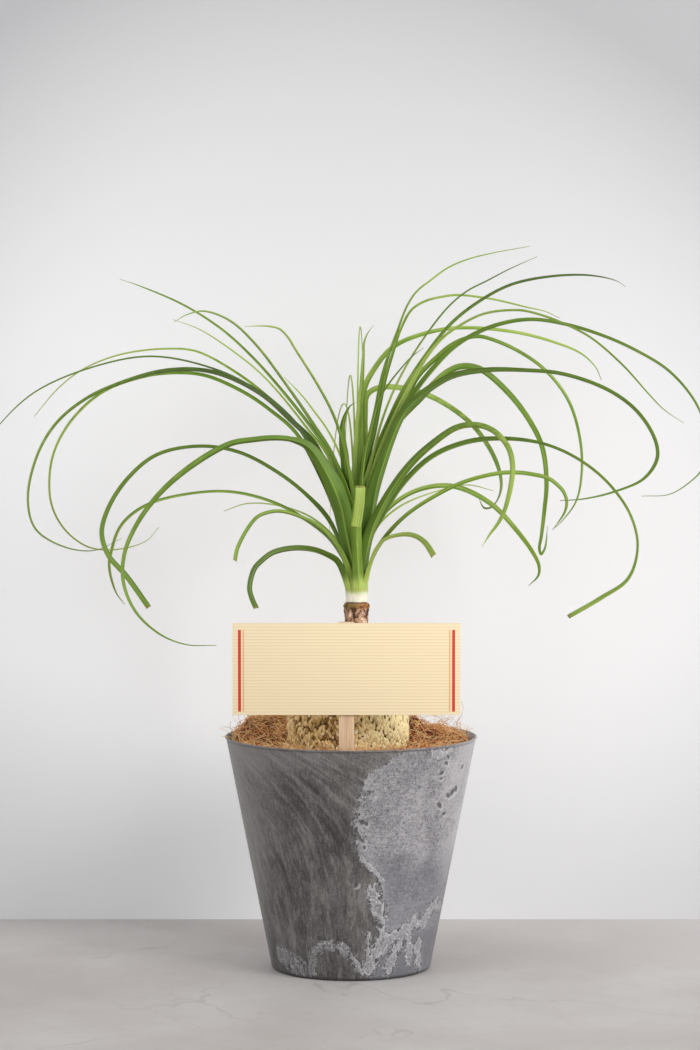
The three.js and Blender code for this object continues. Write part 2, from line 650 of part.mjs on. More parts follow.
// Joins sections of left edge, midrib, right edge and keel; both faces share their diagonals.
function closedStrip(corners, steps) {
  const [left, rib, right, keel] = [0, 1, 2, 3];
  const index = [];
  const quad = (edge, middle, here, flip) => {
    const next = here + 4;
    const faces = [[here + edge, here + middle, next + middle], [here + edge, next + middle, next + edge]];
    faces.forEach(([a, b, c]) => index.push(...(flip ? [a, c, b] : [a, b, c])));
  };
  for (let i = 0; i < steps; i += 1) {
    quad(left, rib, i * 4, true);
    quad(left, keel, i * 4, false);
    quad(right, rib, i * 4, false);
    quad(right, keel, i * 4, true);
  }
  const end = steps * 4;
  index.push(left, rib, keel, keel, rib, right);
  index.push(end + left, end + keel, end + rib, end + keel, end + right, end + rib);
  const geometry = new THREE.BufferGeometry().setFromPoints(corners);
  geometry.setIndex(index);
  return geometry;
}

// ---- card and its stake -------------------------------------------------------------------------

function cardGeometry() {
  const card = new THREE.BoxGeometry(CARD_WIDTH, CARD_THICKNESS, CARD_HEIGHT);
  return closed(card.translate(...CARD_CENTRE));
}

// ---- assembly -----------------------------------------------------------------------------------

const plant = new THREE.Group();
plant.add(piece('pot', potGeometry(), POT_STONE));
plant.add(piece('soil', soilGeometry(), SOIL_DARK));
plant.add(piece('coir_mulch', mulchGeometry(), COIR_ORANGE));
plant.add(piece('trunk', trunkGeometry(), CORK_BARK));
plant.add(piece('crown_sheaths', crownGeometry(), SHEATH_GREEN));
plant.add(piece('sign_card', cardGeometry(), CARD_CREAM));
plant.add(piece('sign_stake', stakeGeometry(0), STAKE_WOOD));
for (const [name, leaf] of Object.entries(LEAVES)) {
  plant.add(piece(name, leafGeometry(leaf), LEAF_GREEN));
}

export default plant;
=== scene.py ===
# %% [markdown]
# # A ponytail palm in its pot
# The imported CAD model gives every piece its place. This notebook dresses it, one piece or one finish at
# a time, in metres and in the same frame: +Z is up, the front faces -Y, and the origin is the middle of
# the pot's underside.

import math

import bmesh
import bpy
import numpy as np
from mathutils import Matrix, Vector, noise


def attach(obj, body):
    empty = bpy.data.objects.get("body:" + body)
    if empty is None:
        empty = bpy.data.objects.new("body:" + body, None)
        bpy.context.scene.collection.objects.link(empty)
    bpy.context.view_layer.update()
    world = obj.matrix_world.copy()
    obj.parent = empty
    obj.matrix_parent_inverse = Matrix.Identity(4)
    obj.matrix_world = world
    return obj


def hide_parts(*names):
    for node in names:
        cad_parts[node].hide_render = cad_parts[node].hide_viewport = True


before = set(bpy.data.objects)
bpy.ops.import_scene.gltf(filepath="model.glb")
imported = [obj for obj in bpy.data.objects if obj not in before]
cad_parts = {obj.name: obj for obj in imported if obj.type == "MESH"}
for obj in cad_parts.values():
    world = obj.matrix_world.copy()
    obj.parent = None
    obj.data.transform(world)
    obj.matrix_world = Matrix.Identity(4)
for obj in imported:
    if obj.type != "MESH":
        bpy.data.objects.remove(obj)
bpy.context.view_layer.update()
MM = 0.001
print("CAD nodes:", len(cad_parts))

# %% [markdown]
# ## Camera
# The photograph was taken from well back with a long lens, from the height of the upper leaves, and
# tipped slightly down. A long lens keeps the pot's sides almost parallel, so the distance matters as
# much as the angle.

# %% Camera
CAMERA_PLACE = (-0.0011, -3.355, 0.6467)
CAMERA_TIP_DEGREES = 2.927
CAMERA_LENS_MM = 107.83
LONG_SIDE_MM = 36.0

camera = bpy.data.objects.new("camera", bpy.data.cameras.new("camera"))
camera.data.lens = CAMERA_LENS_MM
camera.data.sensor_width = LONG_SIDE_MM
camera.location = CAMERA_PLACE
camera.rotation_euler = (math.radians(90 - CAMERA_TIP_DEGREES), 0, 0)
bpy.context.scene.collection.objects.link(camera)
bpy.context.scene.camera = camera
print("camera", round(-CAMERA_PLACE[1], 2), "m in front")

# %% [markdown]
# ## Node trees as sums
# Finishes and Geometry Nodes are both trees of nodes. Wiring them by hand hides what they work out, so a
# small class wraps a socket and turns + - * / and ** into Math nodes. Any other node comes from one
# method, which takes the node's type, its settings and the values of its sockets.

# %% A socket that can be added up, and the tree that it lives in
def worked_out(operation, swapped=False):
    """The method behind an operator: it adds one Math node."""
    def method(value, other):
        pair = (other, value) if swapped else (value, other)
        return value.graph.maths(operation, *pair)
    return method


class Value:
    """An output socket. Arithmetic on it adds Math nodes to its tree."""

    def __init__(self, graph, socket):
        self.graph = graph
        self.socket = socket

    __add__ = __radd__ = worked_out("ADD")
    __mul__ = __rmul__ = worked_out("MULTIPLY")
    __sub__ = worked_out("SUBTRACT")
    __rsub__ = worked_out("SUBTRACT", swapped=True)
    __truediv__ = worked_out("DIVIDE")
    __pow__ = worked_out("POWER")


class Graph:
    """A node tree that is built by calls."""

    def __init__(self, tree):
        self.tree = tree

    def node(self, kind, settings=None, inputs=None, output=0):
        made = self.tree.nodes.new(kind)
        for name, setting in (settings or {}).items():
            setattr(made, name, setting)
        for name, value in (inputs or {}).items():
            if isinstance(value, Value):
                self.tree.links.new(value.socket, made.inputs[name])
            else:
                made.inputs[name].default_value = value
        return Value(self, made.outputs[output] if made.outputs else None)

    def maths(self, operation, *values):
        return self.node("ShaderNodeMath", {"operation": operation}, dict(enumerate(values)))

    def vector(self, operation, *values):
        return self.node("ShaderNodeVectorMath", {"operation": operation}, dict(enumerate(values)))

    def scaled(self, vector, amount):
        return self.node("ShaderNodeVectorMath", {"operation": "SCALE"}, {0: vector, "Scale": amount})

    def axes(self, vector):
        split = self.node("ShaderNodeSeparateXYZ", inputs={0: vector}).socket.node
        return [Value(self, socket) for socket in split.outputs]

    def joined(self, x=0.0, y=0.0, z=0.0):
        return self.node("ShaderNodeCombineXYZ", inputs={0: x, 1: y, 2: z})

    def step(self, value, low, high):
        """0 below low, 1 above high, and an S-curve between; low may lie above high."""
        return self.node("ShaderNodeMapRange", {"interpolation_type": "SMOOTHSTEP"},
                         {"Value": value, "From Min": low, "From Max": high})

    def line(self, value, wide, narrow):
        """1 where the value is within narrow of 0, and 0 where it is further off than wide."""
        return self.step(self.maths("ABSOLUTE", value), wide, narrow)

    def grain(self, where, scale, detail=4.0, roughness=0.5, distortion=0.0, output=0):
        return self.node("ShaderNodeTexNoise", inputs={
            "Vector": where, "Scale": scale, "Detail": detail, "Roughness": roughness,
            "Distortion": distortion}, output=output)

    def jitter(self, where, scale, detail, middle, reach):
        """A push that wanders from place to place: noise in three directions, about a middle."""
        wave = self.grain(where, scale, detail, output="Color")
        return self.scaled(self.vector("SUBTRACT", wave, middle), reach)


print("graph helpers ready")

# %% [markdown]
# ## Finishes
# Every finish of the part is a Principled shader. What varies over a surface goes only into its colour,
# its roughness and a Bump node; everything else is one plain number on the shader's own socket.


# %% A finish
def paint(red, green, blue):
    """A colour given in the 0 to 255 steps of a picture, as the linear light that a shader uses."""
    def linear(step):
        share = step / 255
        return share / 12.92 if share <= 0.04045 else ((share + 0.055) / 1.055) ** 2.4
    return (linear(red), linear(green), linear(blue), 1.0)


class Finish(Graph):
    def __init__(self, name):
        self.material = bpy.data.materials.new(name)
        self.material.use_nodes = True
        super().__init__(self.material.node_tree)
        self.tree.nodes.clear()
        self.place = self.node("ShaderNodeTexCoord", output="Object")

    def attribute(self, name):
        return self.node("ShaderNodeAttribute", {"attribute_name": name}, output="Fac")

    def stretched(self, x, y, z):
        return self.vector("MULTIPLY", self.place, (x, y, z))

    def blend(self, amount, first, second):
        """first where amount is 0, second where it is 1. A plain colour is three steps of 0 to 255."""
        first, second = (paint(*colour) if isinstance(colour, tuple) else colour
                         for colour in (first, second))
        return self.node("ShaderNodeMix", {"data_type": "RGBA"}, {0: amount, 6: first, 7: second}, output=2)

    def layers(self, colour, *coats):
        """Lays coats over a colour in turn, each of them as strong as its amount."""
        for amount, coat in coats:
            colour = self.blend(amount, colour, coat)
        return colour

    def surface(self, colour, roughness, relief=None, depth=MM, **fixed):
        inputs = {"Base Color": colour, "Roughness": roughness}
        inputs.update({name.replace("_", " "): value for name, value in fixed.items()})
        if relief is not None:
            inputs["Normal"] = self.node("ShaderNodeBump", inputs={"Height": relief, "Distance": depth})
        shader = self.node("ShaderNodeBsdfPrincipled", inputs=inputs)
        self.node("ShaderNodeOutputMaterial", inputs={"Surface": shader})
        return self.material


print("finish helper ready")

# %% [markdown]
# ## Geometry Nodes recipes
# What repeats, such as fibres and bark flakes, and what follows a path, such as a leaf, is grown by
# Geometry Nodes. A recipe is run on a source mesh once and its result is kept as a plain mesh, so that
# the piece can be exported and printed.

# %% A recipe
POINTS_PER_SQUARE_METRE = 400000.0


def linked(thing):
    bpy.context.scene.collection.objects.link(thing)
    return thing


class Recipe(Graph):
    """A Geometry Nodes tree with named inputs."""

    def __init__(self, name, **sizes):
        super().__init__(bpy.data.node_groups.new(name, "GeometryNodeTree"))
        self.labels = {}
        self.socket("Geometry", "NodeSocketGeometry")
        for label, size in sizes.items():
            kind = "NodeSocketInt" if isinstance(size, int) else "NodeSocketFloat"
            self.socket(label, kind).default_value = size
        self.socket("finish", "NodeSocketMaterial")
        self.tree.interface.new_socket("Geometry", in_out="OUTPUT", socket_type="NodeSocketGeometry")
        self.entry = self.tree.nodes.new("NodeGroupInput")

    def socket(self, label, kind):
        made = self.tree.interface.new_socket(label, in_out="INPUT", socket_type=kind)
        self.labels[label] = made.identifier
        return made

    def given(self, label):
        return Value(self, self.entry.outputs[label])

    def place(self):
        return self.node("GeometryNodeInputPosition")

    def named(self, name, kind="FLOAT"):
        return self.node("GeometryNodeInputNamedAttribute", {"data_type": kind}, {"Name": name})

    def kept(self, geometry, name, value):
        return self.node("GeometryNodeStoreNamedAttribute", {"data_type": "FLOAT", "domain": "POINT"},
                         {"Geometry": geometry, "Name": name, "Value": value})

    def moved(self, geometry, **inputs):
        return self.node("GeometryNodeSetPosition", inputs={"Geometry": geometry, **inputs})

    def chance(self, low, high, seed):
        """A random number, or a random vector where low and high are vectors."""
        is_vector = isinstance(low, tuple)
        kind, at = ("FLOAT_VECTOR", 0) if is_vector else ("FLOAT", 2)
        return self.node("FunctionNodeRandomValue", {"data_type": kind},
                         {at: low, at + 1: high, "Seed": seed}, output=0 if is_vector else 1)

    def scattered(self, growing, lean, thing, size, **marks):
        """Copies of a thing spread over the source where growing is 1, each leaning off the surface.

        A random tone and the marks are stored on them, and they come back as real geometry."""
        seed = self.given("seed")
        scatter = self.node("GeometryNodeDistributePointsOnFaces", {"distribute_method": "POISSON"}, {
            "Mesh": self.given("Geometry"), "Selection": growing, "Distance Min": self.given("spacing"),
            "Density Max": POINTS_PER_SQUARE_METRE, "Seed": seed})
        points = self.kept(scatter, "tone", self.chance(0.0, 1.0, seed + 1))
        for name, value in marks.items():
            points = self.kept(points, name, value)
        turn = self.node("FunctionNodeEulerToRotation", inputs={0: lean})
        rotation = self.node("FunctionNodeRotateRotation", {"rotation_space": "LOCAL"}, {
            "Rotation": Value(self, scatter.socket.node.outputs["Rotation"]), "Rotate By": turn})
        placed = self.node("GeometryNodeInstanceOnPoints", inputs={
            "Points": points, "Instance": thing, "Rotation": rotation, "Scale": size})
        return self.node("GeometryNodeRealizeInstances", inputs={0: placed})

    def close(self, geometry):
        solid = self.node("GeometryNodeRealizeInstances", inputs={0: geometry})
        soft = self.node("GeometryNodeSetShadeSmooth", inputs={0: solid})
        painted = self.node("GeometryNodeSetMaterial", inputs={0: soft, "Material": self.given("finish")})
        self.node("NodeGroupOutput", inputs={0: painted})

    def grow(self, name, source, finish, **sizes):
        """Runs the recipe on a source mesh and keeps the result as a piece with a plain mesh."""
        holder = linked(bpy.data.objects.new(name + "_source", source))
        modifier = holder.modifiers.new("recipe", "NODES")
        modifier.node_group = self.tree
        modifier[self.labels["finish"]] = finish
        for label, size in sizes.items():
            modifier[self.labels[label]] = size
        depsgraph = bpy.context.evaluated_depsgraph_get()
        mesh = bpy.data.meshes.new_from_object(holder.evaluated_get(depsgraph))
        mesh.name = name
        holder.modifiers.clear()
        bpy.data.objects.remove(holder)
        return linked(bpy.data.objects.new(name, mesh))


print("recipe helper ready")

# %% [markdown]
# ## Pieces
# Every piece sits at the origin with its place in its mesh, rides on the one body of the model, and
# stands for the CAD node whose form it refines.

# %% Making and declaring pieces
def mesh_of(name, vertices, faces):
    mesh = bpy.data.meshes.new(name)
    mesh.from_pydata([tuple(v) for v in vertices], [], [tuple(f) for f in faces])
    mesh.polygons.foreach_set("use_smooth", [True] * len(mesh.polygons))
    mesh.update()
    return mesh


def declare(piece, slot, *nodes):
    """The piece rides on the model's body and takes the place of CAD nodes."""
    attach(piece, "root")
    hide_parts(*nodes)
    print(piece.name, len(piece.data.polygons), "faces")


def dress(mesh, finish, slot, node):
    piece = linked(bpy.data.objects.new(mesh.name, mesh))
    mesh.materials.append(finish)
    declare(piece, slot, node)


def outward(mesh):
    """Turns the faces of a closed mesh outwards."""
    work = bmesh.new()
    work.from_mesh(mesh)
    bmesh.ops.recalc_face_normals(work, faces=work.faces)
    work.to_mesh(mesh)
    work.free()


def add_values(mesh, name, values):
    """Stores one number for each vertex, which a finish or a recipe can read."""
    mesh.attributes.new(name, "FLOAT", "POINT").data.foreach_set("value", np.asarray(values, np.float32))


print("piece helpers ready")

# %% Bodies turned round an axis
def smooth(low, high, value):
    share = np.clip((np.asarray(value, float) - low) / (high - low), 0, 1)
    return share * share * (3 - 2 * share)


def mix(first, second, amount):
    return first + (second - first) * amount


def turned(profile, segments, relief=None):
    """Vertices and faces of a closed body turned round the Z axis; its profile starts and ends on it.

    relief takes arrays of angle, radius and height and returns the radius after relief."""
    rings = np.array(profile[1:-1], float)
    radius = np.repeat(rings[:, 0], segments)
    height = np.repeat(rings[:, 1], segments)
    angle = np.tile(np.arange(segments) * 2 * math.pi / segments, len(rings))
    if relief is not None:
        radius = relief(angle, radius, height)
    ring_points = np.stack([radius * np.cos(angle), radius * np.sin(angle), height], axis=1)
    vertices = np.vstack([ring_points, [(0, 0, profile[0][1]), (0, 0, profile[-1][1])]])
    first, last = len(ring_points), len(ring_points) + 1
    top = (len(rings) - 1) * segments
    faces = []
    for step in range(segments):
        following = (step + 1) % segments
        faces.append((first, following, step))
        for here in range(0, top, segments):
            above = here + segments
            faces.append((here + step, here + following, above + following, above + step))
        faces.append((top + step, top + following, last))
    return vertices, faces


print("turning helpers ready")

# %% [markdown]
# ## Floor, wall and light
# A pale floor and a pale wall behind it catch the soft shadows of the leaves. The wall is a studio flat:
# seen from behind it is clear, so the plant can be looked at from every side. The light is one big soft
# box on the right, a weaker one on the left, and a bright room all around.

# %% Floor and wall
WALL_BEHIND = 0.286
STAGE_REACH = 7.0
WALL_HEIGHT = 5.0
BRIGHT_SPOT_HEIGHT = 0.5
BRIGHT_SPOT_SQUEEZE = 1.9
BRIGHT_SPOT_EDGE = (0.42, 1.12)


def stage_sheet(name, corners, finish):
    sheet = linked(bpy.data.objects.new(name, mesh_of(name, corners, [(0, 1, 2, 3)])))
    sheet.data.materials.append(finish)


def floor_finish():
    screed = Finish("floor_screed")
    x, y, _ = screed.axes(screed.place)
    cloud = screed.grain(screed.place, 2.2, detail=6.0, roughness=0.6)
    speck = screed.grain(screed.place, 60.0, detail=3.0)
    split = screed.grain(screed.place, 1.3, detail=5.0, roughness=0.55, distortion=0.8)
    hairline = screed.line(split - 0.5, 0.0035, 0.0008) * screed.step(cloud, 0.46, 0.6)
    worn = screed.blend(screed.step(cloud, 0.35, 0.7), (182, 175, 172), (201, 197, 194))
    # Painted light: the floor is lighter towards the right and the back.
    colour = screed.layers(worn, (screed.step(speck, 0.55, 0.75) * 0.25, (172, 165, 160)),
                           (screed.step(x + y, 0.05, 0.8) * 0.5, (226, 222, 220)),
                           (hairline * 0.3, (148, 138, 132)))
    return screed.surface(colour, 0.6, speck, 0.2 * MM)


def wall_finish():
    wall = Finish("wall_plaster")
    x, _, z = wall.axes(wall.place)
    # Painted shade: the wall is darker towards the top, the foot and the right, and away from a bright spot
    # in the middle.
    up = z - BRIGHT_SPOT_HEIGHT
    away = wall.maths("SQRT", x * x * BRIGHT_SPOT_SQUEEZE + up * up)
    corner = wall.step(away, *BRIGHT_SPOT_EDGE)
    shade = wall.step(z, 0.35, 1.5) + wall.step(z, 0.35, 0.0) * 0.14
    shade = shade + corner * 0.7 + wall.step(x, -0.4, 0.45) * 0.18
    colour = wall.blend(shade, (253, 253, 254), (188, 188, 190))
    plaster = wall.node("ShaderNodeBsdfDiffuse", inputs={"Color": colour})
    clear = wall.node("ShaderNodeBsdfTransparent")
    behind = wall.node("ShaderNodeNewGeometry", output="Backfacing")
    shader = wall.node("ShaderNodeMixShader", inputs={0: behind, 1: plaster, 2: clear})
    wall.node("ShaderNodeOutputMaterial", inputs={"Surface": shader})
    return wall.material


near, far = -STAGE_REACH, STAGE_REACH
floor_corners = [(near, near, 0), (far, near, 0), (far, far, 0), (near, far, 0)]
wall_corners = [(near, WALL_BEHIND, 0), (far, WALL_BEHIND, 0), (far, WALL_BEHIND, WALL_HEIGHT),
                (near, WALL_BEHIND, WALL_HEIGHT)]
stage_sheet("floor", floor_corners, floor_finish())
stage_sheet("wall", wall_corners, wall_finish())
print("floor and wall")

# %% Light
ROOM_LIGHT = 0.73
VIEW_TARGET = Vector((0, 0, 0.45))


def soft_box(name, place, width, height, watts, colour):
    lamp = linked(bpy.data.objects.new(name, bpy.data.lights.new(name, "AREA")))
    lamp.data.shape = "RECTANGLE"
    lamp.data.size = width
    lamp.data.size_y = height
    lamp.data.energy = watts
    lamp.data.color = colour
    lamp.location = place
    lamp.rotation_euler = (VIEW_TARGET - Vector(place)).to_track_quat("-Z", "Y").to_euler()


world = bpy.data.worlds.new("room")
world.use_nodes = True
world.node_tree.nodes["Background"].inputs["Color"].default_value = (0.97, 0.98, 1.0, 1.0)
world.node_tree.nodes["Background"].inputs["Strength"].default_value = ROOM_LIGHT
bpy.context.scene.world = world
soft_box("window_right", (2.6, -2.3, 1.7), 1.6, 1.8, 76, (1.0, 0.99, 0.97))
soft_box("fill_left", (-2.6, -2.2, 1.6), 2.0, 2.0, 20, (0.97, 0.985, 1.0))
bpy.context.scene.view_settings.view_transform = "Standard"
print("two soft boxes and the room")

# %% [markdown]
# ## The pot
# The pot is one moulded, slightly satin shell of stone powder and resin. It widens evenly to a thin
# lip. Its marbling comes from two mixes that were swirled together: a dark brownish one on the left and a
# pale bluish one on the right, with a torn edge between them, frosted streaks, and small pits.
# Python works out how far each point of the wall is from those marks and stores it on the mesh; the
# finish adds the fine grain and turns the distances into crisp edges. The pits are pressed into the
# mesh itself.

# %% Pot sizes
POT_HEIGHT = 249.4 * MM
POT_RIM_RADIUS = 135 * MM
POT_BASE_RADIUS = 85 * MM
POT_WALL = 6 * MM
POT_FLOOR = 9 * MM
POT_LIP_HEIGHT = 2.2 * MM
POT_LIP_DEPTH = 0.9 * MM
POT_LIP_WALL = 2.4 * MM
POT_LIP_REACH = 16 * MM
POT_FOOT_ROUND = 3 * MM
POT_SEGMENTS = 360
POT_RING_STEP = 1.7 * MM
POT_MEAN_RADIUS = 110 * MM


def pot_wall_radius(height):
    return mix(POT_BASE_RADIUS, POT_RIM_RADIUS - POT_LIP_DEPTH, height / POT_HEIGHT)


print("the pot is", round(POT_HEIGHT / MM, 1), "mm high and", round(POT_RIM_RADIUS * 2 / MM), "mm across")

# %% The marks of the marbling, as degrees round the pot from the front and millimetres up
TORN_EDGE = [(26, 247), (21, 241), (12, 228), (8, 215), (5, 191), (2, 175), (5, 163), (4, 146),
             (7, 133), (18, 109), (18, 87), (20, 74), (17, 63), (23, 44), (16, 20), (12, 0)]
BACK_EDGE = [(150, 0), (138, 60), (160, 110), (148, 165), (166, 205), (158, 247)]
FROSTED = {
    "foot band": ([(23, 44), (33, 50), (43, 59), (53, 60), (62, 76), (74, 70)], 6),
    "ridge": ([(6, 134), (12, 122), (18, 109)], 2),
    "ridge patch": ([(13, 97), (16, 84), (19, 71)], 6),
    "rim patch": ([(39, 246), (44, 239), (51, 243)], 4),
    "drip one": ([(22, 46), (17, 30), (13, 16)], 7),
    "drip two": ([(11, 50), (11, 24)], 2.5),
    "drip three": ([(32, 36), (27, 12)], 6),
    "drip four": ([(50, 33), (56, 8)], 6),
    "drip five": ([(40, 48), (44, 20)], 5),
    "arch": ([(-28, 8), (-26, 29), (-17, 40), (-7, 38), (1, 26), (7, 10)], 3.5),
    "foot patch": ([(-56, 22), (-38, 12)], 7),
    "side streak": ([(95, 240), (100, 180), (92, 120), (104, 60)], 6),
    "back patch": ([(-168, 50), (-150, 56)], 9),
    "back arch": ([(-130, 8), (-124, 30), (-112, 34), (-104, 10)], 4),
}
PITS = [(6, 173, 5), (8, 171, 3), (6, 153, 4), (7, 146, 3), (3, 105, 4), (63, 200, 5.5), (60, 197, 6.5),
        (56, 194, 4.5), (50, 185, 5.5), (55, 175, 4.5), (66, 222, 4), (51, 236, 3), (50, 230, 3.5),
        (48, 220, 4), (48, 214, 3), (18, 60, 5), (84, 150, 4), (88, 143, 3), (112, 200, 4),
        (150, 120, 4), (-160, 180, 3), (-120, 90, 3), (132, 52, 3)]
PIT_DEPTH = 0.9 * MM
RIM_ASIDE = 0.3
FROST_HEIGHT = 0.35 * MM
print(len(FROSTED), "frosted marks and", len(PITS), "pits")

# %% Distances to the marks
def arc_offset(angle, height, centre_degrees, centre_height):
    """How far round and how far up points of the wall are from one point of it, in metres."""
    turn = angle - math.radians(centre_degrees)
    return np.arctan2(np.sin(turn), np.cos(turn)) * POT_MEAN_RADIUS, height - centre_height * MM


def line_distance(angle, height, marks):
    """How far points of the wall are from a line of marks, in metres."""
    nearest = np.full(angle.shape, 1.0)
    for (a0, h0), (a1, h1) in zip(marks, marks[1:]):
        span = (math.remainder(a1 - a0, 360), h1 - h0)
        steps = max(2, int(math.hypot(span[0] * 2, span[1]) / 2))
        for step in range(steps + 1):
            share = step / steps
            found = arc_offset(angle, height, a0 + span[0] * share, h0 + span[1] * share)
            nearest = np.minimum(nearest, np.hypot(*found))
    return nearest


def edge_angle(height, marks):
    marks = sorted(marks, key=lambda mark: mark[1])
    return np.radians(np.interp(height / MM, [mark[1] for mark in marks], [mark[0] for mark in marks]))


def pale_side(angle, height):
    """Distance into the pale mix: above 0 between the torn edge and the edge at the back."""
    into = (angle - edge_angle(height, TORN_EDGE)) * POT_MEAN_RADIUS
    left = (edge_angle(height, BACK_EDGE) - angle) * POT_MEAN_RADIUS
    return np.minimum(into, left)


front_edge = math.degrees(edge_angle(POT_HEIGHT / 2, TORN_EDGE))
print("half way up, the torn edge is", round(front_edge, 1), "degrees right of the front")

# %% Frost and pits
def frost(angle, height):
    """1 on the middle line of a frosted mark, falling to 0 at twice its width."""
    strength = np.zeros(angle.shape)
    for marks, width in FROSTED.values():
        strength = np.maximum(strength, 1 - line_distance(angle, height, marks) / (2 * width * MM))
    return np.clip(strength, 0, 1)


def pits(angle, height, aside=0.0):
    """1 in the middle of a pit, falling to 0 at its rim. aside moves the pits by a share of their size."""
    depth = np.zeros(angle.shape)
    for degrees, up, size in PITS:
        across, above = arc_offset(angle, height, degrees, up)
        across, above = across / (size * MM) - aside, above / (size * MM) + aside
        way = np.arctan2(above, across)
        ragged = 1 + 0.25 * np.sin(2 * way + degrees) + 0.12 * np.sin(5 * way + up)
        depth = np.maximum(depth, 1 - np.hypot(across, above) * ragged)
    return np.clip(depth, 0, 1)


print("the largest pit reaches", max(size for *_, size in PITS), "mm from its middle")
# %% The pot's outline
def pot_profile():
    """Radius and height along the pot's section, up the outside, over the lip and down the inside."""
    base, rim, top = POT_BASE_RADIUS, POT_RIM_RADIUS, POT_HEIGHT
    foot, lip = POT_FOOT_ROUND, POT_HEIGHT - POT_LIP_HEIGHT
    inside_lip = rim - POT_LIP_WALL
    full_wall = top - POT_LIP_REACH
    inside_foot = pot_wall_radius(POT_FLOOR) - POT_WALL
    return [
        (0, 0), (base * 0.5, 0), (base - foot, 0),
        (base - foot * 0.55, foot * 0.12), (base - foot * 0.12, foot * 0.5),
        *[(pot_wall_radius(h), h) for h in np.arange(foot, lip, POT_RING_STEP)],
        (pot_wall_radius(lip), lip), (pot_wall_radius(lip) + POT_LIP_DEPTH * 0.8, lip + 0.3 * MM),
        (rim, lip + 0.9 * MM), (rim - 0.1 * MM, top - 0.7 * MM),
        (rim - 0.7 * MM, top - 0.1 * MM), (rim - 1.2 * MM, top),
        (inside_lip + 0.5 * MM, top - 0.1 * MM), (inside_lip, top - 0.7 * MM),
        (pot_wall_radius(full_wall) - POT_WALL, full_wall),
        (inside_foot, POT_FLOOR + 6 * MM), (inside_foot - 5 * MM, POT_FLOOR), (0, POT_FLOOR),
    ]


def on_outer_wall(radius, height):
    near = np.abs(radius - pot_wall_radius(height)) < 0.3 * MM
    return near & (height > POT_FOOT_ROUND) & (height < POT_HEIGHT - POT_LIP_HEIGHT)


def front_angle(x, y):
    return np.arctan2(x, -y)


def pressed_wall(turn, radius, height):
    angle = front_angle(np.cos(turn), np.sin(turn))
    press = pits(angle, height) ** 1.5 * PIT_DEPTH - frost(angle, height) * FROST_HEIGHT
    return radius - press * on_outer_wall(radius, height)


print("the pot's outline has", len(pot_profile()), "points")

